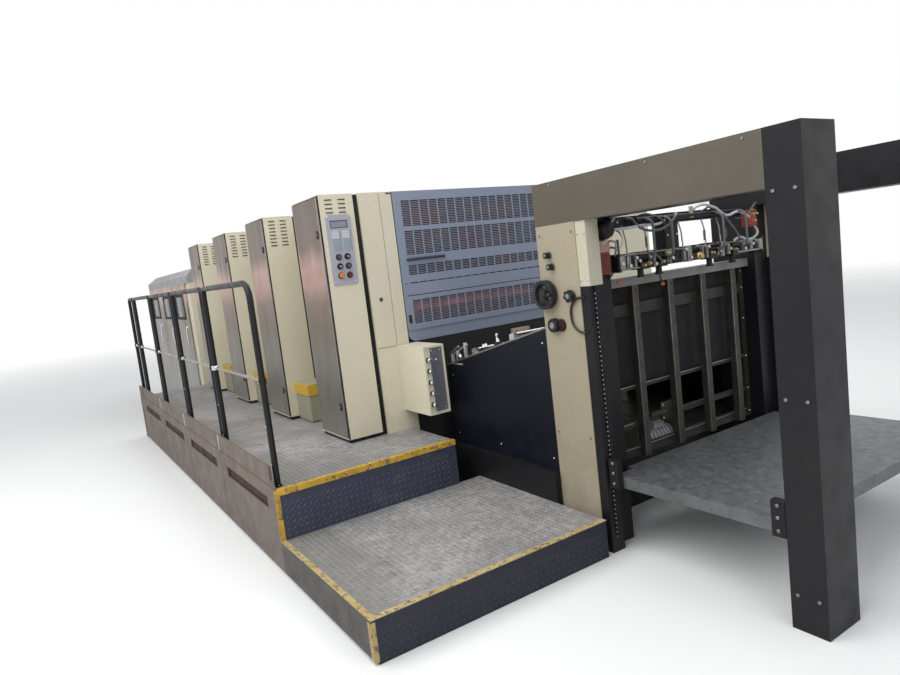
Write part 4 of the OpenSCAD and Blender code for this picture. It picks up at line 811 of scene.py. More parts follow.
class Bench:
    """Makes pieces with the modelling tools and hands them over dressed and seated on a body."""

    def __init__(self, wardrobe: Wardrobe) -> None:
        """Takes the wardrobe that dresses the pieces.

        Args:
            wardrobe: Where the finishes are made.
        """
        self.wardrobe = wardrobe

    def clear(self) -> None:
        """Leaves nothing selected."""
        bpy.ops.object.select_all(action="DESELECT")

    def take(self, piece: bpy.types.Object) -> None:
        """Leaves one piece selected and active."""
        self.clear()
        piece.select_set(True)
        bpy.context.view_layer.objects.active = piece

    def bake_place(self) -> None:
        """Moves the place of each selected piece into its mesh."""
        bpy.ops.object.transform_apply(location=True, rotation=True, scale=True)

    def settle(self, name: str, bevel: float, segments: int = 2) -> bpy.types.Object:
        """Names the active piece, moves its place into its mesh and softens its edges.

        Args:
            name: The piece's name.
            bevel: How far the edges are rounded, or 0 for none.
            segments: Steps across each rounded edge.

        Returns:
            The piece.
        """
        piece = bpy.context.object
        piece.name = name
        self.bake_place()
        if bevel > 0:
            edge = piece.modifiers.new("edge", "BEVEL")
            edge.width = bevel
            edge.segments = segments
            edge.limit_method = "ANGLE"
            edge.angle_limit = math.radians(40)
            bpy.ops.object.modifier_apply(modifier=edge.name)
        return piece

    def block(self, name: str, low: Point, high: Point, bevel: float = 0.0015) -> bpy.types.Object:
        """Makes a plate or box between two corners, its edges softened.

        Args:
            name: The piece's name.
            low: Its lowest corner.
            high: Its highest corner.
            bevel: How far its edges are rounded.

        Returns:
            The piece.
        """
        middle = [(a + b) / 2 for a, b in zip(low, high)]
        spans = [b - a for a, b in zip(low, high)]
        bpy.ops.mesh.primitive_cube_add(size=1, location=middle, scale=spans)
        return self.settle(name, min(bevel, 0.3 * min(spans)), 1 if bevel < 0.001 else 2)

    def tray(self, name: str, low: Point, high: Point, ahead: Point, rim: float,
             depth: float) -> bpy.types.Object:
        """Makes a box with the face that looks ahead sunk inside a rim.

        Args:
            name: The piece's name.
            low: Its lowest corner.
            high: Its highest corner.
            ahead: The way that face looks.
            rim: The rim's width.
            depth: How deep the face is sunk.

        Returns:
            The piece.
        """
        piece = self.block(name, low, high, 0.0)
        self.pick_faces(piece, Vector(ahead))
        bpy.ops.object.mode_set(mode="EDIT")
        bpy.ops.mesh.inset(thickness=rim, depth=0.0)
        bpy.ops.mesh.inset(thickness=min(rim, depth) * 0.3, depth=-depth)
        bpy.ops.object.mode_set(mode="OBJECT")
        return piece

    def pick_faces(self, piece: bpy.types.Object, ahead: Vector) -> None:
        """Selects only the faces of a piece that look one way.

        Args:
            piece: The piece.
            ahead: That way.
        """
        bpy.context.tool_settings.mesh_select_mode = (False, False, True)
        for corner in piece.data.vertices:
            corner.select = False
        for edge in piece.data.edges:
            edge.select = False
        for face in piece.data.polygons:
            face.select = face.normal.dot(ahead) > 0.9

    def turned(self, name: str, base: Point, ahead: Point, sections: Sequence[Spot],
               sides: int = 20, oval: Spot = (1.0, 1.0), turn: float = 0.0,
               bevel: float = 0.0) -> bpy.types.Object:
        """Makes a piece as on a lathe, one ring after another.

        Args:
            name: The piece's name.
            base: The middle of its first ring.
            ahead: The way that it grows.
            sections: Each ring's distance from the base and its radius.
            sides: Corners of each ring.
            oval: Factors on the ring's own two directions.
            turn: A turn about its length, in degrees.
            bevel: How far its edges are rounded.

        Returns:
            The piece.
        """
        place, radius = sections[0]
        bpy.ops.mesh.primitive_circle_add(vertices=sides, radius=radius, fill_type="NGON", location=ORIGIN)
        piece = bpy.context.object
        bpy.ops.object.mode_set(mode="EDIT")
        for along, ring in sections[1:]:
            bpy.ops.mesh.extrude_region_move(TRANSFORM_OT_translate={"value": (0.0, 0.0, along - place)})
            if ring != radius:
                share = ring / radius
                bpy.ops.transform.resize(value=(share, share, 1.0), center_override=(0.0, 0.0, along))
            place, radius = along, ring
        bpy.ops.mesh.select_all(action="SELECT")
        bpy.ops.mesh.normals_make_consistent(inside=False)
        bpy.ops.object.mode_set(mode="OBJECT")
        swing = Vector(UP).rotation_difference(Vector(ahead)).to_matrix().to_4x4()
        shape = Matrix.Rotation(math.radians(turn), 4, "Z") @ Matrix.Diagonal((*oval, 1.0, 1.0))
        piece.matrix_world = Matrix.Translation(base) @ swing @ shape
        return self.settle(name, bevel)

    def hose(self, name: str, points: Sequence[Point], radius: float) -> bpy.types.Object:
        """Makes a round hose or bent rod that runs smoothly through some points.

        Args:
            name: The piece's name.
            points: The points that it runs through.
            radius: Its radius.

        Returns:
            The piece, as a closed mesh.
        """
        data = bpy.data.curves.new(name, "CURVE")
        data.dimensions = "3D"
        data.bevel_depth = radius
        data.bevel_resolution = 3
        data.use_fill_caps = True
        line = data.splines.new("BEZIER")
        line.resolution_u = 8
        line.bezier_points.add(len(points) - 1)
        for knot, point in zip(line.bezier_points, points):
            knot.co = point
            knot.handle_left_type = knot.handle_right_type = "AUTO"
        piece = bpy.data.objects.new(name, data)
        bpy.context.scene.collection.objects.link(piece)
        self.take(piece)
        bpy.ops.object.convert(target="MESH")
        bpy.ops.object.mode_set(mode="EDIT")
        bpy.ops.mesh.select_all(action="SELECT")
        bpy.ops.mesh.remove_doubles(threshold=0.00001)
        bpy.ops.mesh.normals_make_consistent(inside=False)
        bpy.ops.object.mode_set(mode="OBJECT")
        return self.settle(name, 0.0)

    def array(self, piece: bpy.types.Object, count: int, step: Point) -> bpy.types.Object:
        """Repeats a piece in a straight line.

        Args:
            piece: The piece to repeat.
            count: How many there are in the end.
            step: The way from one to the next.

        Returns:
            The piece with all its repeats.
        """
        self.take(piece)
        if count > 1:
            row = piece.modifiers.new("row", "ARRAY")
            row.use_relative_offset = False
            row.use_constant_offset = True
            row.constant_offset_displace = step
            row.count = count
            bpy.ops.object.modifier_apply(modifier=row.name)
        return piece

    def scatter(self, seed: bpy.types.Object, places: Iterable[Point]) -> bpy.types.Object:
        """Stands a copy of a piece made at the origin at each place.

        Args:
            seed: The piece, which becomes the first copy.
            places: Where the copies stand.

        Returns:
            One piece that holds them all.
        """
        first, *others = list(places)
        self.clear()
        for place in others:
            twin = seed.copy()
            twin.data = seed.data.copy()
            twin.location = place
            bpy.context.scene.collection.objects.link(twin)
            twin.select_set(True)
        seed.location = first
        seed.select_set(True)
        bpy.context.view_layer.objects.active = seed
        if others:
            bpy.ops.object.join()
        self.bake_place()
        return seed

    def join(self, name: str, pieces: Sequence[bpy.types.Object]) -> bpy.types.Object:
        """Makes several pieces one.

        Args:
            name: The name of the whole.
            pieces: The pieces.

        Returns:
            The whole.
        """
        self.take(pieces[0])
        for piece in pieces[1:]:
            piece.select_set(True)
        if len(pieces) > 1:
            bpy.ops.object.join()
        pieces[0].name = name
        return pieces[0]

    def finish(self, piece: bpy.types.Object, finish: Finish, body: str = ROOT) -> None:
        """Dresses a piece and seats it on its body.

        Args:
            piece: The piece.
            finish: Its finish.
            body: The body that it moves with.
        """
        self.wardrobe.dress(piece, finish)
        self.take(piece)
        bpy.ops.object.shade_smooth_by_angle(angle=math.radians(38))
        self.clear()
        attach(piece, body)
        LOG.info("%s: %d faces, on %s", piece.name, len(piece.data.polygons), body)

    def finish_group(self, name: str, pieces: Sequence[bpy.types.Object], finish: Finish,
                     body: str = ROOT) -> None:
        """Makes several pieces one, dresses it and seats it."""
        self.finish(self.join(name, pieces), finish, body)

    def finish_at(self, seed: bpy.types.Object, places: Iterable[Point], finish: Finish,
                  body: str = ROOT) -> None:
        """Stands a copy of a piece at each place, dresses them and seats them."""
        self.finish(self.scatter(seed, places), finish, body)

    def screws(self, name: str, places: Iterable[Point], ahead: Point, head: Head, body: str = ROOT) -> None:
        """Sets a low head with a hollow at each place.

        Args:
            name: The piece's name.
            places: Where the heads sit.
            ahead: The way that they look.
            head: The head's size and finish.
            body: The body that they move with.
        """
        radius, height = head.radius, head.height
        rings = ((-SEAT, radius), (0.7 * height, radius), (height, 0.8 * radius),
                 (height, 0.45 * radius), (0.55 * height, 0.4 * radius))
        self.finish_at(self.turned(name, ORIGIN, ahead, rings, head.sides), places, head.finish, body)


@dataclass
class SubAssembly:
    """A group of pieces that belong together on the press."""

    bench: Bench

    def build(self) -> None:
        """Makes the group's pieces on the bench."""
        raise NotImplementedError


@dataclass
class Treads(SubAssembly):
    """The raised studs of the tread plate on the deck, the boards, the step and the risers."""

    pitch: float = 0.031
    stud: Point = (0.021, 0.0075, 0.0013)
    board_pitch: float = 0.044
    coarse_pitch: float = 0.036
    coarse_stud: Point = (0.026, 0.0105, 0.002)
    lean: float = 45.0
    crown: float = 0.55
    sink: float = 0.0002
    deck: tuple[Patch, ...] = (
        (-3.88, 1.118, -2.268, -1.6), (0.625, 1.118, -1.59, -1.105),
        *((unit_x(n) + 0.03, unit_x(n - 1) - 0.505, -1.595, -1.515) for n in UNITS[1:]),
        *((unit_x(n) + 0.33, unit_x(n - 1) - 0.505, -1.505, -1.3) for n in UNITS[1:]))
    step: Patch = (1.172, 2.248, -2.228, -0.935)
    board: Patch = (-1.185, -0.865, -1.27, 1.56)
    board_z: float = 0.806
    deck_riser: Patch = (-2.25, -1.1, 0.212, 0.455)
    step_riser: Patch = (-2.25, -0.93, 0.012, 0.185)

    def build(self) -> None:
        """Lays all the studs."""
        bench = self.bench
        bench.finish_group("deck_studs", [self.flat(p, DECK_Z, self.pitch) for p in self.deck], STUD)
        x0, x1, y0, y1 = self.board
        boards = [self.flat((unit_x(n) + x0, unit_x(n) + x1, y0, y1), self.board_z, self.board_pitch)
                  for n in UNITS]
        bench.finish_group("footboard_studs", boards, STUD)
        bench.finish_group("step_studs", [self.flat(self.step, STEP_Z, self.pitch)], STUD)
        risers = [self.upright(DECK_X1, self.deck_riser), self.upright(STEP_X1, self.step_riser)]
        bench.finish_group("riser_studs", risers, DARK_STUD)

    def seed(self, stud: Point, pitch: float) -> bpy.types.Object:
        """Makes two studs that lean against each other, within one pitch of the origin.

        Args:
            stud: A stud's length, width and height.
            pitch: The pattern's repeat.

        Returns:
            The two studs as one piece.
        """
        length, width, height = stud
        pair = []
        for turn, share in ((self.lean, 0.25), (-self.lean, 0.75)):
            place = share * pitch
            pair.append(self.bench.turned("stud", (place, place, -self.sink), UP,
                                          ((0.0, 1.0), (height, self.crown)), sides=4,
                                          oval=(length / 2, width / 2), turn=turn))
        return self.bench.join("studs", pair)

    def plate(self, size: Spot, place: Matrix, stud: Point, pitch: float) -> bpy.types.Object:
        """Covers a rectangle with studs.

        Args:
            size: The rectangle's two sides.
            place: Where its corner stands and how it is turned.
            stud: A stud's length, width and height.
            pitch: The pattern's repeat.

        Returns:
            The studs as one piece.
        """
        piece = self.seed(stud, pitch)
        for axis, side in enumerate(size):
            step = [0.0, 0.0, 0.0]
            step[axis] = pitch
            self.bench.array(piece, max(1, int(side / pitch)), tuple(step))
        piece.matrix_world = place
        self.bench.bake_place()
        return piece

    def flat(self, patch: Patch, z: float, pitch: float) -> bpy.types.Object:
        """Covers a level patch, given by its X and Y limits."""
        x0, x1, y0, y1 = patch
        return self.plate((x1 - x0, y1 - y0), Matrix.Translation((x0, y0, z)), self.stud, pitch)

    def upright(self, x: float, patch: Patch) -> bpy.types.Object:
        """Covers a patch that looks towards the feeder, given by its Y and Z limits.

        Args:
            x: Where the patch stands.
            patch: Its limits.

        Returns:
            The studs as one piece.
        """
        y0, y1, z0, z1 = patch
        turn = Matrix(((0, 0, 1, x), (1, 0, 0, y0), (0, 1, 0, z0), (0, 0, 0, 1)))
        return self.plate((y1 - y0, z1 - z0), turn, self.coarse_stud, self.coarse_pitch)


@dataclass
class ColumnFittings(SubAssembly):
    """Vent liners as painted shade in the slots, vent lips, door edges, dark corner strips as painted shade in
    the door gaps, and locks of the columns by the gallery.
    """

    vent_y0: float = -1.532
    vent_step: float = 0.095
    vent_w: float = 0.056
    vent_z: float = 2.128
    vent_pitch: float = 0.028
    vent_h: float = 0.01
    vent_depth: float = 0.012
    vent_rows: tuple[int, ...] = (4, 8, 8, 8)
    liner_ease: float = 0.001
    lip_inset: float = 0.004
    lip_out: float = 0.0026
    lip_z: Spot = (-0.0022, 0.0006)
    door_z: Spot = (0.53, 2.155)
    door_edge: float = 0.0145
    strip_w: float = 0.017
    strip_y: Spot = (-0.0014, 0.004)
    side_gap_shade_x: Spot = (-0.0135, -0.0005)
    side_gap_shade_y: Spot = (-0.0008, 0.0005)
    front_gap_shade_x: Spot = (-0.001, 0.0009)
    front_gap_shade_y: Spot = (-0.0008, 0.008)
    lock_back: float = 0.07
    lock_zs: Spot = (0.74, 1.915)
    lock_face: float = -1.586
    lock_oval: Spot = (0.78, 1.35)
    lock_plate: Profile = ((0.0, 0.021), (0.0045, 0.021), (0.0075, 0.017), (0.0075, 0.01), (0.006, 0.009))
    lock_key: Profile = ((0.0, 0.0085), (0.0035, 0.0085), (0.0045, 0.0065), (0.0045, 0.003), (0.002, 0.003))

    def build(self) -> None:
        """Fits every column."""
        for number, rows in zip(UNITS, self.vent_rows):
            self.fit_vents(number, rows)
            self.fit_door(number)

    def fit_vents(self, number: int, rows: int) -> None:
        """Puts a dark liner at the back of each vent slot as painted shade, and gives each slot a pressed lip.

        Args:
            number: The unit's number.
            rows: How many rows of slots its column has.
        """
        bench, x, y0, z0 = self.bench, unit_x(number), self.vent_y0, self.vent_z
        back, y1, z1 = x - self.vent_depth, self.vent_y0 + self.vent_w, self.vent_z + self.vent_h
        ease, inset = self.liner_ease, self.lip_inset
        # Dark liners at the back of the slots: painted shade in the vents.
        liner = bench.block(f"vent_shade_liners_{number}", (back - 0.0004, y0 + ease, z0 + ease),
                            (back + 0.002, y1 - ease, z1 - ease), bevel=0.0006)
        lip = bench.block(f"vent_lips_{number}", (x - 0.001, y0 + inset, z0 + self.lip_z[0]),
                          (x + self.lip_out, y1 - inset, z0 + self.lip_z[1]), bevel=0.0009)
        for piece, finish in ((liner, OLIVE), (lip, CREAM)):
            bench.array(piece, 2, (0.0, self.vent_step, 0.0))
            bench.array(piece, rows, (0.0, 0.0, -self.vent_pitch))
            bench.finish(piece, finish)

    def fit_door(self, number: int) -> None:
        """Gives a door its bright edge and its locks, and the column's corner dark strips as painted shade in
        the door gap.

        Args:
            number: The unit's number.
        """
        bench, x, body = self.bench, unit_x(number), f"door_{number}"
        low, high = self.door_z
        edge = x - self.door_edge
        strip = bench.block(f"door_edge_{number}",
                            (edge - self.strip_w, PRESS_Y + self.strip_y[0], low + 0.003),
                            (edge, PRESS_Y + self.strip_y[1], high - 0.003), bevel=0.0007)
        bench.finish(strip, EDGE_STEEL, body)
        # Dark strips beside the door and along the column's corner: painted shade in the gap.
        gap_shades = [bench.block("seal", (x + xs[0], PRESS_Y + ys[0], low - below),
                             (x + xs[1], PRESS_Y + ys[1], high + above), bevel=0.0003)
                 for xs, ys, below, above in ((self.side_gap_shade_x, self.side_gap_shade_y, 0.002, 0.002),
                                              (self.front_gap_shade_x, self.front_gap_shade_y, 0.024, 0.01))]
        bench.finish_group(f"column_edge_gap_shade_{number}", gap_shades, SEAL)
        lock_x = x - self.lock_back
        plates, keys = [], []
        for z in self.lock_zs:
            plates.append(bench.turned("lock_plate", (lock_x, PRESS_Y, z), TO_OPERATOR, self.lock_plate,
                                       sides=28, oval=self.lock_oval))
            keys.append(bench.turned("lock_key", (lock_x, self.lock_face, z), TO_OPERATOR, self.lock_key))
        bench.finish_group(f"door_lock_plates_{number}", plates, KNOB, body)
        bench.finish_group(f"door_lock_keys_{number}", keys, STEEL, body)


@dataclass(frozen=True)
class Cap:
    """The cap of a push button, and which buttons have it, by column and row."""

    name: str
    finish: Finish
    radius: float
    spots: tuple[tuple[int, int], ...]
    heights: Row = (0.019, 0.0205, 0.02)


@dataclass
class ControlPanel(SubAssembly):
    """The first column's panel: display, keys, lamps, buttons and screws."""

    face: float = 0.608
    display: Patch = (-1.5105, -1.3945, 1.95, 1.992)
    frame_w: float = 0.005
    frame_out: float = 0.0016
    glass_depth: Spot = (0.0042, 0.001)
    key_ys: Spot = (-1.511, -1.436)
    key_w: float = 0.052
    key_h: float = 0.0075
    key_out: float = 0.0013
    key_pitch: float = 0.0125
    key_z: float = 1.782
    key_lift: float = 0.01
    key_rows: int = 11
    teal_rows: int = 7
    lamp_gap: float = 0.006
    lamp_lift: float = 0.0137
    lamp: Profile = ((-0.0004, 0.0028), (0.0012, 0.0028), (0.002, 0.0016))
    button_ys: Spot = (-1.4835, -1.4215)
    button_zs: Row = (1.63, 1.692, 1.754)
    bezel: Profile = ((0.0, 0.0215), (0.0035, 0.0215), (0.005, 0.0195), (0.0165, 0.0182), (0.0175, 0.0168),
                      (0.0166, 0.015))
    caps: tuple[Cap, ...] = (
        Cap("stop", ORANGE_KEY, 0.0175, ((0, 0),), (0.0215, 0.024, 0.0246)),
        Cap("run", MAROON_KEY, 0.015, ((1, 0),)),
        Cap("light", PANEL, 0.007, ((1, 2), (0, 1))),
        Cap("grey", BLUE_KEY, 0.014, ((0, 2), (1, 1))))
    corners: Patch = (-1.5305, -1.3745, 1.582, 2.021)
    screw: Head = Head(0.0048, CHROME)

    def build(self) -> None:
        """Fits the panel."""
        self.fit_display()
        self.fit_keys()
        self.fit_buttons()
        y0, y1, z0, z1 = self.corners
        self.bench.screws("panel_screws", [(self.face, y, z) for y in (y0, y1) for z in (z0, z1)],
                          TO_FEEDER, self.screw)

    def fit_display(self) -> None:
        """Fits the display's dark frame and its glass."""
        bench, w = self.bench, self.frame_w
        y0, y1, z0, z1 = self.display
        back, front = self.face - SEAT, self.face + self.frame_out
        bars = [bench.block("bar", (back, y0 - w, z), (front, y1 + w, z + w), bevel=0.0006)
                for z in (z0 - w, z1)]
        bars += [bench.block("bar", (back, y, z0), (front, y + w, z1), bevel=0.0006) for y in (y0 - w, y1)]
        bench.finish_group("display_frame", bars, BLUE_KEY)
        deep, shallow = self.glass_depth
        glass = bench.block("display_glass", (self.face - deep, y0 + SEAT, z0 + SEAT),
                            (self.face - shallow, y1 - SEAT, z1 - SEAT), bevel=0.0005)
        bench.finish(glass, LCD)

    def fit_keys(self) -> None:
        """Fits two columns of bare keys, teal below and light above, with a lamp beside each."""
        bench, up = self.bench, (0.0, 0.0, self.key_pitch)
        rows = ((TEAL_KEY, 0, self.teal_rows), (LIGHT_KEY, self.teal_rows, self.key_rows - self.teal_rows))
        keys = {LIGHT_KEY: [], TEAL_KEY: []}
        lamps = []
        for y in self.key_ys:
            for finish, first, count in rows:
                z = self.key_z + self.key_lift + first * self.key_pitch
                key = bench.block("panel_keys", (self.face - 0.0004, y, z),
                                  (self.face + self.key_out, y + self.key_w, z + self.key_h), bevel=0.0006)
                keys[finish].append(bench.array(key, count, up))
            place = (self.face, y + self.key_w + self.lamp_gap, self.key_z + self.lamp_lift)
            lamp = bench.turned("panel_lamps", place, TO_FEEDER, self.lamp, sides=10)
            lamps.append(bench.array(lamp, self.key_rows, up))
        for finish, pieces in keys.items():
            bench.finish_group(f"panel_{finish.name}s", pieces, finish)
        bench.finish_group("panel_lamps", lamps, MAROON_KEY)

    def fit_buttons(self) -> None:
        """Puts a bezel ring and a coloured cap over each of the six buttons."""
        bench = self.bench
        ring = bench.turned("button_rings", ORIGIN, TO_FEEDER, self.bezel, sides=28)
        bench.finish_at(ring, [(self.face, y, z) for y in self.button_ys for z in self.button_zs], KNOB)
        for cap in self.caps:
            (side, edge, middle), r = cap.heights, cap.radius
            rings = ((0.0, r), (side, r), (edge, 0.86 * r), (middle, 0.5 * r))
            seed = bench.turned(f"button_{cap.name}", ORIGIN, TO_FEEDER, rings, sides=28)
            places = [(self.face, self.button_ys[column], self.button_zs[row]) for column, row in cap.spots]
            bench.finish_at(seed, places, cap.finish)


@dataclass
class GuardFittings(SubAssembly):
    """Seals, latches, hinges, grips, dark seam strips as painted shadow, and screws of the four guards and the
    covers beside them.
    """

    half: float = 1.023
    gap: float = 0.008
    bottom: float = 1.105
    latch_y: float = 0.998
    seam_z: float = 1.428
    seam_h: float = 0.006
    latch_z: tuple[float, float] = (1.237, 1.296)
    handle_z: float = 1.688
    handle_y0: float = -0.957
    handle_len: float = 0.3
    handle_r: float = 0.0106

    def build(self) -> None:
        """Fits every unit's guard."""
        for number in UNITS:
            x = unit_x(number)
            self.fit_seal(number, x)
            self.fit_latches(number, x)
        faces = [unit_x(n) for n in UNITS]
        bench = self.bench
        bench.screws("guard_bolts", [(x, s * 0.992, z) for x in faces for s in SIDES for z in (1.519, 2.09)],
                     TO_FEEDER, Head(0.0065, STEEL, 0.004, HEXAGON))
        bench.screws("cover_locks", [(x, s * 1.208, 1.434) for x in faces for s in SIDES],
                     TO_FEEDER, Head(0.0145, OLIVE, 0.005))
        bench.screws("cover_screws", [(x, s * y, z) for x in faces for s in SIDES
                                      for y, z in ((1.165, 2.12), (1.165, 1.135), (1.255, 2.12),
                                                   (1.255, 1.135))],
                     TO_FEEDER, Head(0.005, CHROME))
        y0, y1, z = self.handle_y0, self.handle_y0 + self.handle_len, self.handle_z
        path = ((-0.001, y0), (0.009, y0), (0.0134, y0 + 0.0019), (0.0196, y0 + 0.0044), (0.0226, y0 + 0.0095),
                (0.024, y0 + 0.015), (0.024, y0 + 0.04))
        points = [(x, y, z) for x, y in path] + [(x, y0 + y1 - y, z) for x, y in reversed(path)]
        grip = bench.hose("guard_handle_grips", points, self.handle_r)
        bench.finish_at(grip, [(x, 0.0, 0.0) for x in faces], NAVY)
        hinge = bench.block("guard_hinges", (-0.001, -0.02, -0.004), (0.005, 0.02, 0.003), 0.001)
        bench.finish_at(hinge, [(x, s * 1.052, 2.16) for x in faces for s in SIDES], KNOB)
        # A dark strip in each guard's seam: painted shadow under the upper guard's bottom edge.
        line = bench.block("guard_seam_shadows", (-0.0029, -0.99, self.seam_z + 0.0003),
                           (-0.0004, 0.99, self.seam_z + self.seam_h - 0.0003), 0.0004)
        bench.finish_at(line, [(x, 0.0, 0.0) for x in faces], SEAL)

    def fit_seal(self, number: int, x: float) -> None:
        """Lays the dark seal in the gap round a guard."""
        bench = self.bench
        strips = []
        inner, outer = self.half + 0.0004, self.half + self.gap - 0.0004
        for side in SIDES:
            low, high = sorted((side * inner, side * outer))
            strips.append(bench.block("seal", (x - 0.022, low, self.bottom), (x - 0.003, high, 2.166), 0.0009))
        strips.append(bench.block("seal", (x - 0.022, -outer, self.bottom - self.gap + 0.0004),
                                  (x - 0.003, outer, self.bottom - 0.0004), 0.0009))
        bench.finish_group(f"guard_seal_{number}", strips, SEAL)

    def fit_latches(self, number: int, x: float) -> None:
        """Fits a latch with its knob on both ends of a guard's lowest band."""
        bench = self.bench
        parts = []
        for side in SIDES:
            y = side * self.latch_y
            parts.append(bench.block("latch", (x - SEAT, y - 0.008, self.latch_z[0]),
                                     (x + 0.013, y + 0.008, self.latch_z[1]), 0.002))
            parts.append(bench.turned("latch", (x + 0.013, y, self.latch_z[0] + 0.016), TO_FEEDER,
                                      ((-0.001, 0.0065), (0.006, 0.0065), (0.0075, 0.005)), 14))
        bench.finish(bench.join(f"guard_latches_{number}", parts), KNOB)


@dataclass
class HandrailFittings(SubAssembly):
    """Clamps, rings, screws and foot bolts of the gallery's rails."""

    rod_z: float = 1.1
    socket: float = 0.038
    clamp_r: float = 0.023
    clamp_screw_dz: float = 0.008
    clamp_screw: Head = Head(0.0038, CHROME, 0.0028)
    post_r: float = 0.0175
    post_screw_zs: Spot = (0.62, 0.84)
    post_screw: Head = Head(0.0042, CHROME)
    foot_h: float = 0.0095
    foot_spots: tuple[Spot, ...] = ((0.0205, 0.0), (-0.0205, 0.0), (0.0, 0.0205))
    foot_screw: Head = Head(0.003, CHROME, 0.0022)
    ring_len: float = 0.009
    ring: Profile = ((0.0, 0.0105), (0.001, 0.0142), (0.009, 0.0142), (0.01, 0.0105))
    band_half: float = 0.015
    band: Profile = ((0.0, 0.0235), (0.001, 0.0246), (0.029, 0.0246), (0.03, 0.0235))

    def build(self) -> None:
        """Fits every post."""
        bench, dz = self.bench, self.clamp_screw_dz
        bench.screws("clamp_screws", [(x, RAIL_Y - self.clamp_r + 0.0006, self.rod_z + offset)
                                      for x in POSTS_X for offset in (-dz, dz)], TO_OPERATOR, self.clamp_screw)
        bench.screws("post_screws", [(x, RAIL_Y - self.post_r, z) for x in POSTS_X
                                     for z in self.post_screw_zs], TO_OPERATOR, self.post_screw)
        bench.screws("foot_screws", [(x + dx, RAIL_Y + dy, DECK_Z + self.foot_h) for x in POSTS_X
                                     for dx, dy in self.foot_spots], UP, self.foot_screw)
        ring = bench.turned("rod_rings", ORIGIN, TO_FEEDER, self.ring)
        ends = [x - self.socket - 0.001 for x in POSTS_X[::2]]
        starts = [x + self.socket - self.ring_len for x in POSTS_X[1::2]]
        bench.finish_at(ring, [(x, RAIL_Y, self.rod_z) for x in ends + starts], CHROME)
        band = bench.turned("silver_clamp", (POSTS_X[1], RAIL_Y, self.rod_z - self.band_half), UP, self.band,
                            sides=28)
        bench.finish(band, CHROME)


@dataclass
class SkirtTrim(SubAssembly):
    """Dark slot liners as painted shade in the grip slots, edge strips and screws of the gallery's skirts, and
    the plate that closes their end.
    """

    joints: Row = (-0.042, -1.242, -2.442)
    panel_mids: Row = (0.562, -0.638, -1.838, -3.038)
    face: float = -2.297
    board_face: float = -2.293
    slot_len: float = 0.9
    slot_z: Spot = (0.36, 0.43)
    slot_depth: float = 0.012
    liner_ease: float = 0.001
    liner_t: float = 0.003
    strip: Box = ((-0.02, -2.2952, 0.513), (-0.003, -2.292, 0.622))
    skirt_screw_dx: Spot = (-0.028, 0.036)
    skirt_screw_zs: Row = (0.075, 0.315, 0.465)
    skirt_screw: Head = Head(0.0055, STEEL)
    toe_screw_dx: Row = (-0.4, 0.0, 0.4)
    toe_screw_z: float = 0.566
    toe_screw: Head = Head(0.005, STEEL)
    toe_plate: Box = ((0.957, DECK_Y + 0.0196, 0.497), (1.081, DECK_Y + 0.0222, 0.587))
    step_corner: Box = ((STEP_X1 - 0.03, DECK_Y - 0.001, 0.012), (STEP_X1 + 0.0012, DECK_Y + 0.022, 0.188))
    end_plate: Box = ((-3.898, DECK_Y + 0.001, 0.02), (-3.64, DECK_Y + 0.0195, 0.622))
    end_rim: float = 0.022

    def build(self) -> None:
        """Fits the skirts."""
        bench, ease = self.bench, self.liner_ease
        back, half, (z0, z1) = self.face + self.slot_depth, self.slot_len / 2, self.slot_z
        # Dark maroon trays in the grip slots: painted shade in the recesses.
        liners = [bench.tray("liner", (mid - half + ease, back - self.liner_t, z0 + ease),
                             (mid + half - ease, back + 0.0004, z1 - ease), TO_OPERATOR, rim=0.004, depth=0.002)
                  for mid in self.panel_mids]
        bench.finish_group("grip_slot_shade_liners", liners, MAROON)
        strip = bench.block("joint_strips", *self.strip, bevel=0.0007)
        bench.finish_at(strip, [(x, 0.0, 0.0) for x in self.joints], LIGHT_STEEL)
        bench.screws("skirt_screws", [(x + dx, self.face, z) for x in self.joints for dx in self.skirt_screw_dx
                                      for z in self.skirt_screw_zs], TO_OPERATOR, self.skirt_screw)
        bench.screws("toe_screws", [(mid + dx, self.board_face, self.toe_screw_z) for mid in self.panel_mids
                                    for dx in self.toe_screw_dx], TO_OPERATOR, self.toe_screw)
        bench.finish(bench.block("toe_plate", *self.toe_plate, bevel=0.0008), LIGHT_STEEL)
        bench.finish(bench.block("step_corner_edge", *self.step_corner, bevel=0.001), YELLOW)
        end = bench.tray("skirt_end_plate", *self.end_plate, TO_OPERATOR, rim=self.end_rim, depth=0.004)
        bench.finish(end, SKIRT)


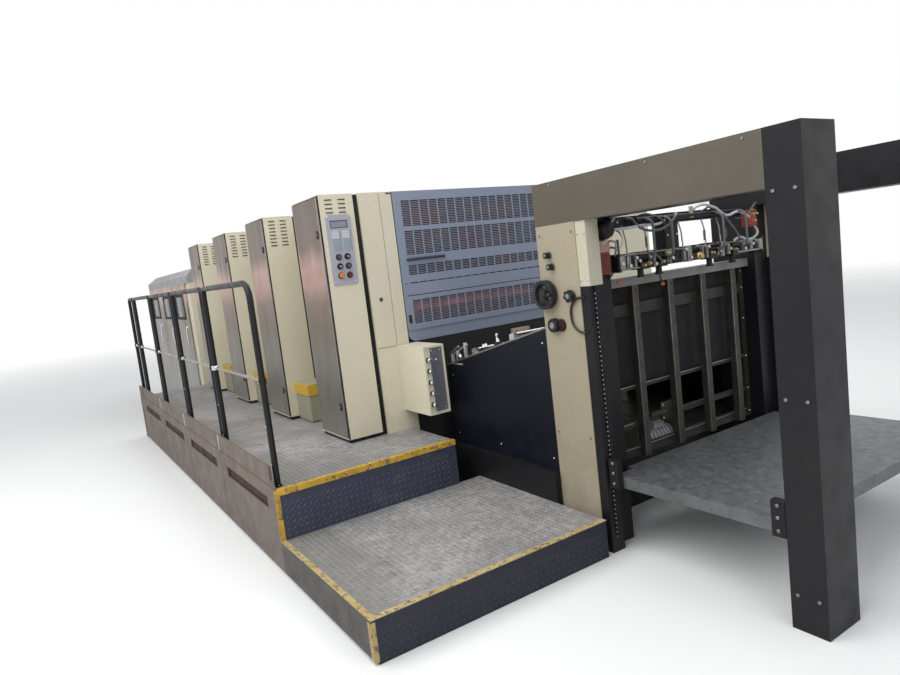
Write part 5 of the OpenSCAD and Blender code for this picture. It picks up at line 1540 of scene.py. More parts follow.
@dataclass
class ControlBox(SubAssembly):
    """Face plate, knob caps and screws of the box beside the feed table."""

    face: float = 0.952
    plate_t: float = 0.0035
    plate: Patch = (-1.078, -0.986, 0.652, 1.08)
    plate_rim: float = 0.006
    sunk_face: float = 0.0022
    screw_ys: Spot = (-1.064, -1.0)
    screw_zs: Spot = (0.668, 1.064)
    screw: Head = Head(0.0048, CHROME)
    bolt_spot: Spot = (-1.036, 1.0)
    bolt: Head = Head(0.0095, LIGHT_STEEL, 0.007, HEXAGON)
    knob_y: float = -1.098
    knob_z: float = 0.702
    knob_pitch: float = 0.076
    knobs: int = 5
    rose: Profile = ((-SEAT, 0.0165), (0.002, 0.0165), (0.005, 0.0095), (0.01, 0.0085))
    cap_x: float = 0.971
    cap: Profile = ((0.0, 0.015), (0.0022, 0.0165), (0.015, 0.0165), (0.019, 0.014), (0.0205, 0.008),
                    (0.0209, 0.002))

    def build(self) -> None:
        """Fits the box."""
        bench = self.bench
        y0, y1, z0, z1 = self.plate
        plate = bench.tray("box_plate", (self.face - SEAT, y0, z0), (self.face + self.plate_t, y1, z1),
                           TO_FEEDER, rim=self.plate_rim, depth=0.0012)
        bench.finish(plate, BOX_PLATE)
        sunk = self.face + self.sunk_face
        bench.screws("box_screws", [(sunk, y, z) for y in self.screw_ys for z in self.screw_zs], TO_FEEDER,
                     self.screw)
        bench.screws("box_bolt", [(sunk, *self.bolt_spot)], TO_FEEDER, self.bolt)
        heights = [self.knob_z + i * self.knob_pitch for i in range(self.knobs)]
        for name, x, profile, finish in (("knob_roses", self.face, self.rose, KNOB),
                                         ("knob_caps", self.cap_x, self.cap, CHROME)):
            seed = bench.turned(name, ORIGIN, TO_FEEDER, profile, sides=24)
            bench.finish_at(seed, [(x, self.knob_y, z) for z in heights], finish)


@dataclass
class FeedTable(SubAssembly):
    """Clamps, register rods and screws along the feed table, and the stop under the first guard."""

    rail_y: float = 0.857
    start: float = 0.84
    low: float = 0.925
    rise: float = math.tan(math.radians(14.5))
    rail_t: float = 0.01

    def top(self, x: float) -> float:
        """Returns the height of the side rails' top at an X."""
        return self.low + (x - self.start) * self.rise + self.rail_t

    def build(self) -> None:
        """Fits the table."""
        bench = self.bench
        blocks, pins = [], []
        for side in SIDES:
            for x, half, high in ((1.286, 0.028, 0.016), (1.42, 0.016, 0.022), (1.452, 0.009, 0.014),
                                  (0.99, 0.02, 0.012)):
                y, z = side * self.rail_y, self.top(x)
                blocks.append(bench.block("rail_clamp", (x - half, y - 0.014, z - 0.009),
                                          (x + half, y + 0.014, z + high), 0.003))
            pins.append(bench.turned("clamp_pin", (1.416, side * self.rail_y, self.top(1.416)),
                                     (0.12, 0.0, 1.0), ((0.0, 0.006), (0.06, 0.006), (0.062, 0.009),
                                                        (0.074, 0.009), (0.077, 0.006)), 16))
        bench.finish_group("rail_clamps", blocks, BLACK)
        bench.finish_group("clamp_pins", pins, LIGHT_STEEL)
        places = [(x, s * 0.857, self.top(x) - SEAT) for s in SIDES
                  for x in (0.88, 1.1, 1.2, 1.55, 1.68, 1.8, 1.89)]
        bench.screws("rail_screws", places, (-0.25, 0.0, 1.0), Head(0.0055, CHROME))
        sides = [(x, s * 0.88, z) for s in SIDES for x, z in ((0.9, 0.45), (0.9, 0.86), (1.88, 0.45),
                                                             (1.88, 1.12), (1.38, 0.45))]
        for side, name in NAMED_SIDES:
            bench.screws(f"side_screws_{name}", [p for p in sides if p[1] * side > 0],
                         (0.0, float(side), 0.0), Head(0.006, CHROME))
        self.fit_register()
        stop = bench.block("guard_stop", (0.5995, -0.111, 0.968), (0.648, 0.046, 1.062), 0.004)
        bench.finish(stop, FEEDER_SHADED_CREAM)
        bench.screws("stop_screws", [(0.648, y, z) for y in (-0.095, 0.03) for z in (0.985, 1.045)],
                     TO_FEEDER, Head(0.006, STEEL, 0.005, HEXAGON))

    def fit_register(self) -> None:
        """Fits the register rods on their brackets, near the first unit, and the caps of the clamps."""
        bench = self.bench
        dark, light = [], []
        for side in SIDES:
            y = side * self.rail_y
            for x, high in ((0.885, 0.058), (0.955, 0.066), (1.055, 0.098)):
                light.append(bench.block("bracket", (x - 0.007, y - 0.012, self.top(x) - 0.009),
                                         (x + 0.007, y + 0.012, self.top(x) + high), 0.002))
            light.append(bench.hose("rod", ((0.87, y, 0.985), (0.965, y, 1.03), (1.078, y, 1.078)), 0.0062))
            dark.append(bench.hose("rod", ((0.88, y - 0.008, 1.005), (0.925, y - 0.008, 1.032),
                                           (0.985, y - 0.008, 1.062)), 0.0085))
            light += [bench.turned("cap", (x, y, self.top(x) + high), (-0.25, 0.0, 1.0),
                                   ((-0.003, 0.011), (0.01, 0.011), (0.014, 0.008), (0.02, 0.008)), 12)
                      for x, high in ((1.274, 0.016), (1.3, 0.016), (1.432, 0.02), (0.985, 0.012))]
            low, high = sorted((side * 0.8795, side * 0.8835))
            light.append(bench.block("strip", (0.9, low, 0.938), (1.036, high, 0.949), 0.001))
        bench.finish_group("register_rods", light, LIGHT_STEEL)
        bench.finish(bench.join("register_springs", dark), STEEL)


@dataclass
class FeederColumn(SubAssembly):
    """Knob trims, bolts, the dial and the handwheel's small pieces on the feeder's columns."""

    knobs: tuple[Row, ...] = ((2.011, 1.605, 0.017), (2.028, 1.542, 0.017), (2.158, 1.383, 0.026),
                              (2.016, 1.226, 0.036))
    knob_face: float = -0.914
    lobe_ring: float = 0.023
    lobe: Profile = ((0.0, 0.0085), (0.002, 0.0105), (0.02, 0.0105), (0.022, 0.0085))
    rib: Profile = ((0.0, 0.0022), (0.02, 0.0022))
    dial_x: float = 2.058
    dial: Profile = ((-SEAT, 0.034), (0.01, 0.034), (0.014, 0.03), (0.014, 0.012), (0.02, 0.01),
                     (0.021, 0.006))
    wheel: Spot = (1.975, 1.395)
    wheel_face: float = -0.924
    rim_r: float = 0.071
    crank_knob: Profile = ((-SEAT, 0.006), (0.005, 0.006), (0.008, 0.01), (0.018, 0.0125), (0.026, 0.0125),
                           (0.031, 0.008), (0.032, 0.003))
    hub: Profile = ((-SEAT, 0.018), (0.003, 0.018), (0.005, 0.015), (0.005, 0.007), (0.002, 0.006))
    web_ring: float = 0.042
    web_depth: float = 0.0205
    web_bolt: Head = Head(0.006, STEEL, 0.004, HEXAGON)
    cover_y: float = -0.875
    cover_spots: tuple[Spot, ...] = ((2.232, 1.46), (2.232, 1.698), (2.28, 1.46), (2.28, 1.698))
    cover_bolt: Head = Head(0.0065, LIGHT_STEEL, 0.004, HEXAGON)
    header_xs: Row = (2.06, 2.706, 3.18)
    header_z: float = 1.968
    column_xs: Row = (1.945, 2.195)
    column_zs: Row = (0.1, 0.62, 1.715)
    header_bolt: Head = Head(0.007, STEEL, 0.005, HEXAGON)
    rear_xs: Row = (3.29, 3.376)
    rear_zs: Row = (0.15, 0.95, 1.75)
    rear_bolt: Head = Head(0.008, STEEL, 0.006, HEXAGON)

    def build(self) -> None:
        """Fits both columns and the wheel."""
        self.fit_knobs()
        self.fit_grips()
        self.fit_wheel()
        self.fit_bolts()

    def ring(self, centre: Spot, radius: float, count: int, start: float = 0.0) -> list[Spot]:
        """Spaces places evenly round a circle.

        Args:
            centre: The circle's X and Z.
            radius: Its radius.
            count: How many places it has.
            start: The first place's angle, in degrees.

        Returns:
            The X and Z of each place.
        """
        angles = [math.radians(360 / count * i + start) for i in range(count)]
        return [(centre[0] + radius * math.cos(a), centre[1] + radius * math.sin(a)) for a in angles]

    def fit_knobs(self) -> None:
        """Gives every knob a collar and an end cap."""
        bench = self.bench
        collars, caps = [], []
        for x, z, r in self.knobs:
            collar = ((-SEAT, r + 0.003), (0.0035, r + 0.003), (0.0065, r - 0.002))
            collars.append(bench.turned("collar", (x, COLUMN_Y, z), TO_OPERATOR, collar, sides=28))
            cap = ((-SEAT, 0.5 * r), (0.0025, 0.5 * r), (0.0035, 0.4 * r), (0.0035, 0.2 * r), (0.002, 0.15 * r))
            caps.append(bench.turned("cap", (x, self.knob_face, z), TO_OPERATOR, cap))
        bench.finish_group("knob_collars", collars, OLIVE)
        bench.finish_group("knob_end_caps", caps, STEEL)

    def fit_grips(self) -> None:
        """Gives the star knob its lobes, and the low knob its milled rim and its dial."""
        bench = self.bench
        x, z, _ = self.knobs[2]
        lobe = bench.turned("star_grip", (0.0, self.knob_face - 0.002, 0.0), TO_DRIVE, self.lobe, sides=14)
        bench.finish_at(lobe, [(x, 0.0, z) for x, z in self.ring((x, z), self.lobe_ring, 6, 15.0)], KNOB)
        x, z, radius = self.knobs[3]
        rib = bench.turned("milled_rim", (0.0, self.knob_face + 0.002, 0.0), TO_DRIVE, self.rib, sides=6)
        bench.finish_at(rib, [(x, 0.0, z) for x, z in self.ring((x, z), radius, 24)], KNOB)
        dial = bench.turned("low_dial", (self.dial_x, COLUMN_Y, z), TO_OPERATOR, self.dial, sides=32)
        bench.finish(dial, MAROON)

    def fit_wheel(self) -> None:
        """Fits the crank knob, the hub's cap and the web's three bolts to the handwheel."""
        bench = self.bench
        x, z = self.wheel
        knob = bench.turned("wheel_crank_knob", (x + self.rim_r, self.wheel_face, z), TO_OPERATOR,
                            self.crank_knob, sides=24)
        bench.finish(knob, KNOB, WHEEL)
        hub = bench.turned("wheel_hub_cap", (x, self.wheel_face, z), TO_OPERATOR, self.hub, sides=28)
        bench.finish(hub, KNOB, WHEEL)
        bench.screws("wheel_bolts", [(x, self.wheel_face + self.web_depth, z)
                                     for x, z in self.ring(self.wheel, self.web_ring, 3, 90.0)],
                     TO_OPERATOR, self.web_bolt, WHEEL)

    def fit_bolts(self) -> None:
        """Sets the bolts of the headers, the chain covers, the columns and the rear posts."""
        for side, name in NAMED_SIDES:
            skin = side * -COLUMN_Y
            covers = [(x, side * -self.cover_y, z) for x, z in self.cover_spots]
            heads = [(x, skin, self.header_z) for x in self.header_xs]
            heads += [(x, skin, z) for x in self.column_xs for z in self.column_zs]
            rear = [(x, skin, z) for x in self.rear_xs for z in self.rear_zs]
            for kind, places, head in (("cover", covers, self.cover_bolt), ("header", heads, self.header_bolt),
                                       ("rear", rear, self.rear_bolt)):
                self.bench.screws(f"{kind}_bolts_{name}", places, (0.0, float(side), 0.0), head)


@dataclass
class SuctionHead(SubAssembly):
    """Hoses, fittings, fins and clips of the suction head."""

    pack_y: tuple[float, float] = (-0.775, -0.695)
    clamps: tuple[tuple[tuple[float, float, float], ...], ...] = (
        ((-0.563, 0.016, 0.02), (-0.4, 0.011, 0.012), (-0.361, 0.01, 0.024), (-0.221, 0.014, 0.016),
         (-0.06, 0.018, 0.024), (0.104, 0.01, 0.018), (0.245, 0.016, 0.022), (0.538, 0.013, 0.014)),
        ((-0.62, 0.012, 0.012), (-0.51, 0.008, 0.022), (-0.251, 0.008, 0.01), (-0.101, 0.01, 0.014),
         (0.06, 0.007, 0.02), (0.205, 0.008, 0.012), (0.31, 0.012, 0.016), (0.458, 0.01, 0.02)))
    thumbs: tuple[tuple[float, float], ...] = (
        (-0.62, 1.516), (-0.563, 1.499), (-0.51, 1.537), (-0.488, 1.519), (-0.4, 1.53), (-0.361, 1.492),
        (-0.221, 1.51), (-0.101, 1.548), (-0.06, 1.498), (0.104, 1.545), (0.205, 1.515), (0.245, 1.56),
        (0.31, 1.517), (0.458, 1.506), (0.538, 1.528))
    pull_rods: tuple[tuple[Point, float, float], ...] = (
        ((2.287, -0.61, 1.558), 0.0042, 0.45), ((2.28, 0.38, 1.49), 0.0075, 0.23),
        ((2.278, -0.64, 1.484), 0.0055, 0.2), ((2.287, 0.1, 1.556), 0.0042, 0.32))
    thumb: Profile = ((0.0, 0.0035), (0.016, 0.0035), (0.017, 0.009), (0.023, 0.0095), (0.024, 0.007))
    fitting_places: Route = (
        (2.285, -0.426, 1.5), (2.285, -0.468, 1.494), (2.285, -0.318, 1.5), (2.285, -0.278, 1.545),
        (2.285, 0.126, 1.51), (2.285, 0.346, 1.51), (2.3, 0.51, 1.71), (2.3, 0.53, 1.668), (2.3, 0.55, 1.71))
    bearing: Box = ((2.214, -0.02, 1.486), (2.289, 0.02, 1.554))
    bearing_y: float = 0.618
    hoses: tuple[tuple[str, float, Route], ...] = (
        ("motor_hose", 0.0075, ((2.3, -0.676, 1.768), (2.3, -0.678, 1.752), (2.302, -0.7, 1.738),
            (2.3, -0.712, 1.712), (2.296, -0.708, 1.68), (2.29, -0.728, 1.65),
            (2.272, -0.745, 1.63), (2.262, -0.748, 1.622))),
        ("rail_feed_hose", 0.0075, ((2.262, -0.69, 1.704), (2.284, -0.655, 1.698), (2.3, -0.561, 1.7),
            (2.306, -0.464, 1.706), (2.304, -0.365, 1.703), (2.298, -0.3, 1.714),
            (2.29, -0.262, 1.733))),
        ("looped_hose", 0.007, ((2.246, -0.53, 1.752), (2.285, -0.522, 1.742), (2.302, -0.512, 1.715),
            (2.31, -0.484, 1.691), (2.316, -0.4, 1.672), (2.314, -0.291, 1.686),
            (2.306, -0.201, 1.733), (2.285, -0.16, 1.752), (2.246, -0.15, 1.755))),
        ("post_hose", 0.005, ((2.246, -0.44, 1.757), (2.285, -0.425, 1.766), (2.304, -0.372, 1.752),
            (2.306, -0.3, 1.718), (2.284, -0.262, 1.69), (2.26, -0.232, 1.668))),
        ("valve_hose", 0.008, ((2.246, 0.01, 1.75), (2.285, 0.032, 1.784), (2.304, 0.143, 1.772),
            (2.31, 0.254, 1.716), (2.31, 0.378, 1.731), (2.306, 0.47, 1.7),
            (2.296, 0.5, 1.694))),
        ("slanting_hose", 0.0065, ((2.246, 0.11, 1.752), (2.29, 0.146, 1.775), (2.308, 0.205, 1.735),
            (2.318, 0.265, 1.677), (2.316, 0.333, 1.612), (2.3, 0.378, 1.57),
            (2.281, 0.376, 1.552))),
        ("cross_hose", 0.0072, ((2.281, 0.352, 1.56), (2.3, 0.372, 1.577), (2.308, 0.453, 1.56),
            (2.306, 0.535, 1.572), (2.298, 0.575, 1.604), (2.285, 0.56, 1.64))),
        ("end_hose", 0.0045, ((2.246, 0.62, 1.758), (2.29, 0.59, 1.778), (2.306, 0.52, 1.745),
            (2.304, 0.461, 1.702), (2.27, 0.44, 1.69), (2.228, 0.436, 1.712))),
        ("side_hose", 0.006, ((2.262, -0.7, 1.61), (2.28, -0.672, 1.605), (2.284, -0.64, 1.585),
            (2.27, -0.636, 1.56))),
        ("low_hose", 0.006, ((2.236, -0.645, 1.478), (2.232, -0.66, 1.456), (2.205, -0.655, 1.44),
            (2.165, -0.64, 1.43))),
        ("carrier_hose", 0.006, ((2.281, -0.43, 1.556), (2.305, -0.4, 1.552), (2.312, -0.372, 1.53),
            (2.306, -0.34, 1.508), (2.281, -0.318, 1.5))))

    def build(self) -> None:
        """Fits the head."""
        bench = self.bench
        for name, radius, points in self.hoses:
            bench.finish(bench.hose(name, points, radius), PALE_HOSE if radius > 0.007 else HOSE)
        self.fit_pack()
        self.fit_brass()
        self.fit_clamps()
        self.fit_beam()

    def fit_clamps(self) -> None:
        """Fits the clamps, arms and pull rods along the two slide rods."""
        bench = self.bench
        dark, light = self.clamps
        for name, finish, spots in (("dark_clamps", STEEL, dark), ("light_clamps", WORN_STEEL, light)):
            blocks = [bench.block("clamp", (2.232, y - w, 1.5 - h), (2.274 + h / 3, y + w, 1.54 + h), 0.003)
                      for y, w, h in spots]
            bench.finish_group(name, blocks, finish)
        arm = bench.hose("clamp_arms", ((2.262, 0.0, 1.548), (2.266, 0.004, 1.58), (2.258, 0.01, 1.612),
                                        (2.262, 0.004, 1.64), (2.246, 0.0, 1.716)), 0.0042)
        bench.finish_at(arm, [(0.0, y, 0.0) for y in (-0.563, -0.4, -0.104, 0.104, 0.245)], STEEL)
        spring = bench.turned("pull_springs", ORIGIN, UP,
                              [(0.0026 * i, 0.0085 if i % 2 else 0.006) for i in range(24)], 12)
        bench.finish_at(spring, [(2.262, y, 1.585) for y in (-0.62, -0.398, 0.106, 0.31)], WORN_STEEL)
        rods = [bench.turned("rod", base, TO_DRIVE, ((0.0, radius), (length, radius)), 12)
                for base, radius, length in self.pull_rods]
        bench.finish_group("pull_rods", rods, WORN_STEEL)
        thumb = bench.turned("thumb_screws", (2.27, 0.0, 0.0), TO_FEEDER,
                             self.thumb, 10)
        bench.finish_at(thumb, [(0.0, y, z) for y, z in self.thumbs], LIGHT_STEEL)
        tag = bench.block("rail_tag", (2.29, -0.058, 1.722), (2.301, -0.03, 1.786), 0.002)
        bench.finish(tag, STEP_CREAM)
        body = bench.turned("brass_body", (2.25, 0.023, 1.5), TO_FEEDER,
                            ((0.0, 0.022), (0.034, 0.022), (0.038, 0.017), (0.05, 0.017), (0.052, 0.012)), 24)
        bench.finish(body, BRASS)

    def fit_pack(self) -> None:
        """Covers the valve pack with a plate above and fins below, and crowns the motor."""
        bench = self.bench
        y0, y1 = self.pack_y
        plate = bench.tray("pack_cover", (2.269, y0 + 0.003, 1.588), (2.2785, y1 - 0.003, 1.647),
                           TO_FEEDER, 0.006, 0.0015)
        bench.finish(plate, PINK)
        fin = bench.block("pack_fins", (2.269, y0 + 0.002, 1.477), (2.279, y1 - 0.002, 1.4815), 0.0012)
        bench.finish(bench.array(fin, 9, (0.0, 0.0, 0.0118)), RUST_RED)
        cap = bench.turned("motor_cap", (2.31, -0.735, 1.703), TO_FEEDER,
                           ((-0.001, 0.044), (0.004, 0.044), (0.009, 0.038), (0.01, 0.02), (0.014, 0.018),
                            (0.015, 0.012)), 36)
        bench.finish(cap, BLACK)
        bench.screws("motor_cap_screws", [(2.3135, -0.735 + 0.034 * math.cos(a), 1.703 + 0.034 * math.sin(a))
                                          for a in (math.radians(45 + 90 * i) for i in range(4))],
                     TO_FEEDER, Head(0.0036, CHROME))

    def fit_brass(self) -> None:
        """Screws hexagonal fittings on to the carriers, the valve block and the post."""
        bench = self.bench
        ahead = TO_FEEDER
        rings = ((-0.001, 0.0098), (0.007, 0.0098), (0.008, 0.007), (0.016, 0.007), (0.017, 0.0085),
                 (0.022, 0.0085), (0.023, 0.006))
        seed = bench.turned("brass_fittings", ORIGIN, ahead, rings, 6)
        bench.finish_at(seed, self.fitting_places, BRASS)
        knob = bench.turned("carrier_knobs", ORIGIN, ahead,
                            ((-0.001, 0.006), (0.008, 0.006), (0.01, 0.015), (0.022, 0.016), (0.026, 0.012),
                             (0.027, 0.005)), 20)
        bench.finish_at(knob, [(2.2625, -0.205, 1.5), (2.285, 0.176, 1.55)], KNOB)
        fin = bench.block("valve_fins", (2.299, 0.494, 1.642), (2.307, 0.566, 1.6465), 0.0012)
        bench.finish(bench.array(fin, 2, (0.0, 0.0, 0.08)), RUST_RED)

    def fit_beam(self) -> None:
        """Fits the lever, the bracket, the clips and the screws round the beam."""
        bench = self.bench
        lever = bench.hose("head_lever", ((2.222, -0.59, 1.7), (2.262, -0.59, 1.672), (2.268, -0.585, 1.64),
                                          (2.262, -0.59, 1.612), (2.255, -0.598, 1.596)), 0.005)
        bench.finish(lever, LIGHT_STEEL)
        bracket = bench.hose("head_bracket", ((2.262, -0.696, 1.642), (2.29, -0.69, 1.64),
                                              (2.292, -0.668, 1.632), (2.29, -0.664, 1.606),
                                              (2.262, -0.648, 1.56)), 0.0055)
        bench.finish(bracket, STEEL)
        spots = [(2.25, y, 1.7355) for y in (-0.6, -0.35, 0.02, 0.26, 0.46, 0.61)]
        bench.screws("beam_screws", spots, TO_FEEDER, Head(0.0065, LIGHT_STEEL, 0.005, HEXAGON))
        posts = [(2.2625, y, z) for y in (-0.222, -0.142) for z in (1.555, 1.64)]
        bench.screws("post_bolts", posts, TO_FEEDER, Head(0.0065, LIGHT_STEEL, 0.005, HEXAGON))
        clip = bench.turned("beam_clips", ORIGIN, TO_FEEDER,
                            ((-SEAT, 0.011), (0.007, 0.011), (0.01, 0.008), (0.01, 0.004), (0.006, 0.004)),
                            16, (1.0, 1.3))
        bench.finish_at(clip, [(2.17, -0.54, 1.411), (2.17, -0.185, 1.366)], CLIP)
        cord = bench.hose("clip_cord", ((2.16, -0.225, 1.434), (2.172, -0.22, 1.444), (2.178, -0.212, 1.43),
                                        (2.176, -0.2, 1.4), (2.175, -0.187, 1.372)), 0.0028)
        bench.finish(cord, KNOB)
        bearing = bench.block("rod_bearings", *self.bearing, bevel=0.004)
        bench.finish_at(bearing, [(0.0, s * self.bearing_y, 0.0) for s in SIDES], STEEL)


@dataclass
class PileHoist(SubAssembly):
    """Chain pins, lug bolts, the wall's fittings and the drive motor's trim."""

    front_x: float = 2.286
    rear_x: float = 3.252
    half_w: float = 0.011
    wall_face: float = 2.125
    bar_face: float = 2.17
    bar_ys: tuple[float, ...] = (-0.434, -0.134, 0.166, 0.466)
    table_top: float = 0.4245
    lug_xs: tuple[float, float] = (2.2923, 3.1857)

    def build(self) -> None:
        """Fits the hoist."""
        self.fit_pins()
        self.fit_lugs()
        self.fit_wall()
        self.fit_motor()

    def fit_pins(self) -> None:
        """Sets a bright pin end on both sides of every link."""
        bench = self.bench
        runs = []
        for x, top in ((self.front_x, CHAIN_TOP), (self.rear_x, HEADER_Z)):
            count = int((top - CHAIN_Z0) / LINK_PITCH)
            for side in SIDES:
                for face in SIDES:
                    y = side * CHAIN_Y + face * (self.half_w - 0.0004)
                    pin = bench.turned("pin", (x, y, CHAIN_Z0 + 0.006), (0.0, float(face), 0.0),
                                       ((0.0, 0.0044), (0.0018, 0.0044), (0.0026, 0.003)), 8)
                    runs.append(bench.array(pin, count, (0.0, 0.0, LINK_PITCH)))
        bench.finish_group("chain_pins", runs, LIGHT_STEEL)

    def fit_lugs(self) -> None:
        """Bolts the lugs to the table and draws its edge bars."""
        bench = self.bench
        for side, name in NAMED_SIDES:
            heads = [(x + 0.03, side * 0.865, z) for x in self.lug_xs for z in (0.392, 0.448, 0.5)]
            bench.screws(f"lug_bolts_{name}", heads, (0.0, float(side), 0.0),
                         Head(0.0085, STEEL, 0.006, HEXAGON), TABLE)
        ends = bench.block("table_edge_bar", (2.2575, -0.7, 0.372), (2.2605, 0.7, 0.382), 0.001)
        bench.finish(ends, LIGHT_STEEL, TABLE)
        bench.screws("table_screws", [(x, y, self.table_top) for x in (2.42, 2.72, 3.02)
                                      for y in (-0.72, -0.24, 0.24, 0.72)],
                     UP, Head(0.009, STEEL, 0.0015), TABLE)

    def fit_wall(self) -> None:
        """Fits the wall's gusset, light edges, blocks, screws and the bars' holes."""
        bench = self.bench
        x = self.wall_face
        gusset = bench.block("wall_gusset", (x - 0.001, -0.236, 0.556), (x + 0.006, -0.102, 0.667), 0.003)
        bench.finish(gusset, WALL)
        edges = [bench.block("edge", (x - SEAT, -0.605, 0.59), (x + 0.004, -0.47, 0.599), 0.001),
                 bench.block("edge", (x - SEAT, -0.605, 0.447), (x + 0.003, 0.605, 0.453), 0.001),
                 bench.block("edge", (x - SEAT, -0.605, 0.808), (x + 0.003, 0.605, 0.814), 0.001)]
        bench.finish_group("wall_edges", edges, STEEL)
        block = bench.block("wall_block", (x - 0.001, -0.35, 0.601), (x + 0.03, -0.215, 0.627), 0.004)
        bench.finish(block, WALL)
        bench.screws("wall_screws", [(x, y, z) for y in (-0.628, 0.628)
                                     for z in (0.43, 0.585, 0.8, 1.05, 1.25, 1.36)],
                     TO_FEEDER, Head(0.0065, LIGHT_STEEL, 0.004, HEXAGON))
        bench.screws("gusset_screws", [(x + 0.006, y, z) for y in (-0.222, -0.116) for z in (0.572, 0.65)],
                     TO_FEEDER, Head(0.006, LIGHT_STEEL, 0.004, HEXAGON))
        edge = bench.block("bar_edges",
                           (self.bar_face - 0.0075, -0.0012, 0.402), (self.bar_face + 0.0006, 0.002, 1.383),
                           0.0006)
        bench.finish_at(edge, [(0.0, y, 0.0) for y in self.bar_ys], STEEL)
        holes = [(self.bar_face, y + 0.026, 0.48 + 0.11 * i) for y in self.bar_ys for i in range(9)]
        bench.screws("bar_holes", holes, TO_FEEDER, Head(0.0046, SEAL, 0.0012))

    def fit_motor(self) -> None:
        """Gives the hoist's motor end caps and a terminal box."""
        bench = self.bench
        caps = [bench.turned("cap", (2.044, y, 0.448), (0.0, side, 0.0),
                             ((-0.001, 0.046), (0.006, 0.046), (0.012, 0.036), (0.013, 0.014), (0.022, 0.012),
                              (0.023, 0.008)), 32) for y, side in ((-0.3, -1.0), (-0.11, 1.0))]
        bench.finish_group("hoist_motor_caps", caps, STEEL)
        box = bench.tray("hoist_terminal_box", (2.012, -0.25, 0.5), (2.076, -0.16, 0.536), UP,
                         0.006, 0.002)
        bench.finish(box, GREY)


@dataclass
class DriveSide(SubAssembly):
    """Latches, hinges, louvres and screws of the covers on the drive side."""

    face: float = 1.58
    latch_dx: float = 0.1
    latch_zs: Row = (1.05, 1.95)
    latch_oval: Spot = (0.8, 1.3)
    latch: Profile = ((-SEAT, 0.024), (0.004, 0.024), (0.007, 0.019), (0.007, 0.01), (0.004, 0.008))
    hinge_dx: float = 0.812
    hinge_out: float = 0.004
    hinge_zs: Row = (0.95, 1.45, 1.88)
    hinge_half: float = 0.045
    hinge: Profile = ((0.0, 0.007), (0.002, 0.009), (0.088, 0.009), (0.09, 0.007))
    screw_dxs: Row = (0.05, 0.42, 0.79)
    screw_zs: Row = (0.08, 0.72)
    screw: Head = Head(0.007, STEEL, 0.004)
    lip: Box = ((-0.13, -0.001, -0.003), (0.13, 0.007, 0.004))
    lip_dx: float = 0.42
    lip_z: float = 0.24
    lip_pitch: float = 0.03
    lips: int = 10

    def build(self) -> None:
        """Fits all four units."""
        bench, y = self.bench, self.face
        faces = [unit_x(n) for n in UNITS]
        plate = bench.turned("drive_latches", ORIGIN, TO_DRIVE, self.latch, sides=28, oval=self.latch_oval)
        bench.finish_at(plate, [(x - self.latch_dx, y, z) for x in faces for z in self.latch_zs], KNOB)
        hinge = bench.turned("drive_hinges", (0.0, 0.0, -self.hinge_half), UP, self.hinge, sides=14)
        bench.finish_at(hinge, [(x - self.hinge_dx, y + self.hinge_out, z) for x in faces
                                for z in self.hinge_zs], STEEL)
        bench.screws("drive_screws", [(x - dx, y, z) for x in faces for dx in self.screw_dxs
                                      for z in self.screw_zs], TO_DRIVE, self.screw)
        lip = bench.block("drive_louvres", *self.lip, bevel=0.0018)
        bench.finish_at(lip, [(x - self.lip_dx, y, self.lip_z + self.lip_pitch * i) for x in faces
                              for i in range(self.lips)], CREAM)


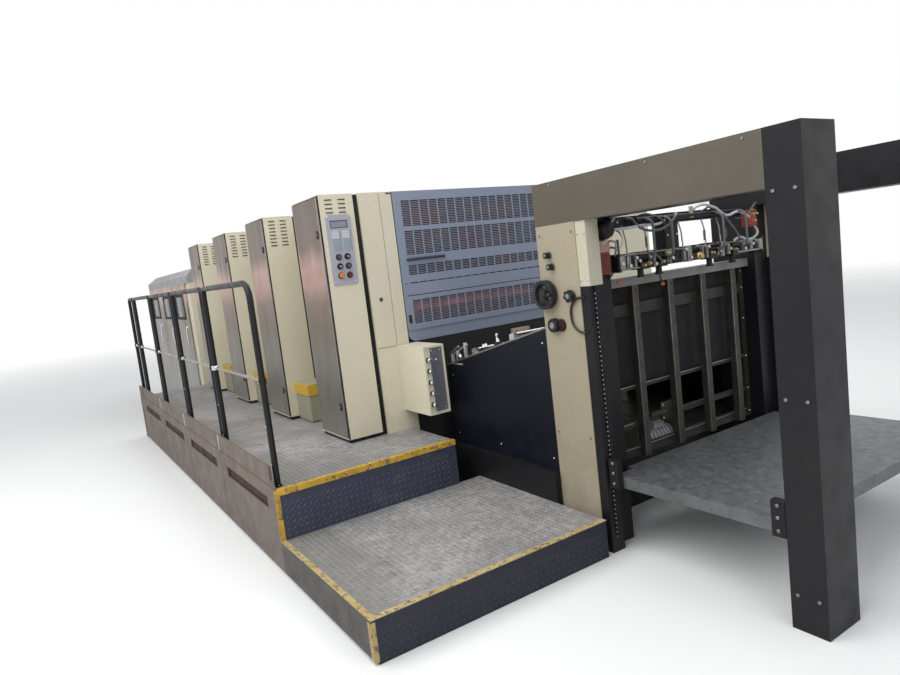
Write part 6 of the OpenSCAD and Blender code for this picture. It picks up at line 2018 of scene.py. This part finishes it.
@dataclass
class Delivery(SubAssembly):
    """Handles, dark windows, louvres, a hatch and screws of the delivery at the far end."""

    x0: float = -7.296
    x1: float = -4.196
    half: float = 1.51
    panel_w: float = 0.96667
    top: float = 1.775
    hatch: Box = ((-6.3, -1.05, 1.9545), (-5.4, 1.05, 1.961))
    handle_r: float = 0.008
    handle: tuple[Spot, ...] = ((-0.001, 0.95), (0.03, 0.955), (0.04, 0.98), (0.04, 1.18), (0.03, 1.205),
                                (-0.001, 1.21))

    def build(self) -> None:
        """Fits both sides and the hood."""
        bench = self.bench
        for side, name in NAMED_SIDES:
            self.fit_side(side, name)
        slot = bench.block("hood_louvres", (-0.003, -0.18, -0.001), (0.006, 0.18, 0.008), 0.002)
        places = [(self.x1 - 0.6 - 0.03 * i, y, 1.955) for i in range(14) for y in (-0.7, 0.0, 0.7)]
        bench.finish_at(slot, places, GREY)
        bench.finish(bench.tray("hood_hatches", *self.hatch, UP, rim=0.05, depth=0.003), GREY)

    def fit_side(self, side: int, name: str) -> None:
        """Fits one side's three panels.

        Args:
            side: -1 for the operator's side, 1 for the drive side.
            name: The side's name in the pieces' names.
        """
        bench = self.bench
        out = (0.0, float(side), 0.0)
        skin = side * self.half
        starts = [self.x0 + i * self.panel_w for i in range(3)]
        bars, rims, panes = [], [], []
        for x in starts:
            grip = x + self.panel_w - 0.07
            bars.append(bench.hose("handle", [(grip, skin + side * reach, z) for reach, z in self.handle],
                                   self.handle_r))
            low, high = sorted((skin - side * 0.0005, skin + side * 0.007))
            rims.append(bench.tray("rim", (x + 0.2, low, 1.3), (x + 0.76, high, 1.64), out, 0.026, 0.005))
            low, high = sorted((skin, skin + side * 0.0035))
            panes.append(bench.block("pane", (x + 0.235, low, 1.335), (x + 0.725, high, 1.605), 0.001))
        bench.finish_group(f"delivery_handles_{name}", bars, CHROME)
        bench.finish_group(f"delivery_rims_{name}", rims, SEAL)
        bench.finish_group(f"delivery_panes_{name}", panes, GLASS)
        screws = [(x + dx, skin, z) for x in starts for dx in (0.035, 0.92) for z in (0.1, 0.9, 1.73)]
        bench.screws(f"delivery_screws_{name}", screws, out, Head(0.006, STEEL))


def main() -> None:
    """Loads the frame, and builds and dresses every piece."""
    logging.basicConfig(level=logging.INFO, format="%(message)s")
    for thing in list(bpy.data.objects):
        bpy.data.objects.remove(thing)
    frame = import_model()
    bpy.context.scene.view_settings.view_transform = "Standard"
    bpy.ops.object.select_all(action="DESELECT")
    wardrobe = Wardrobe()
    Studio().build()
    FrameLooks(wardrobe).dress(frame["nodes"])
    bench = Bench(wardrobe)
    for fittings in (Treads, ColumnFittings, ControlPanel, GuardFittings, HandrailFittings, SkirtTrim,
                     ControlBox, FeedTable, FeederColumn, SuctionHead, PileHoist, DriveSide, Delivery):
        LOG.info("%s", fittings.__name__)
        fittings(bench).build()


if __name__ == "__main__":
    main()
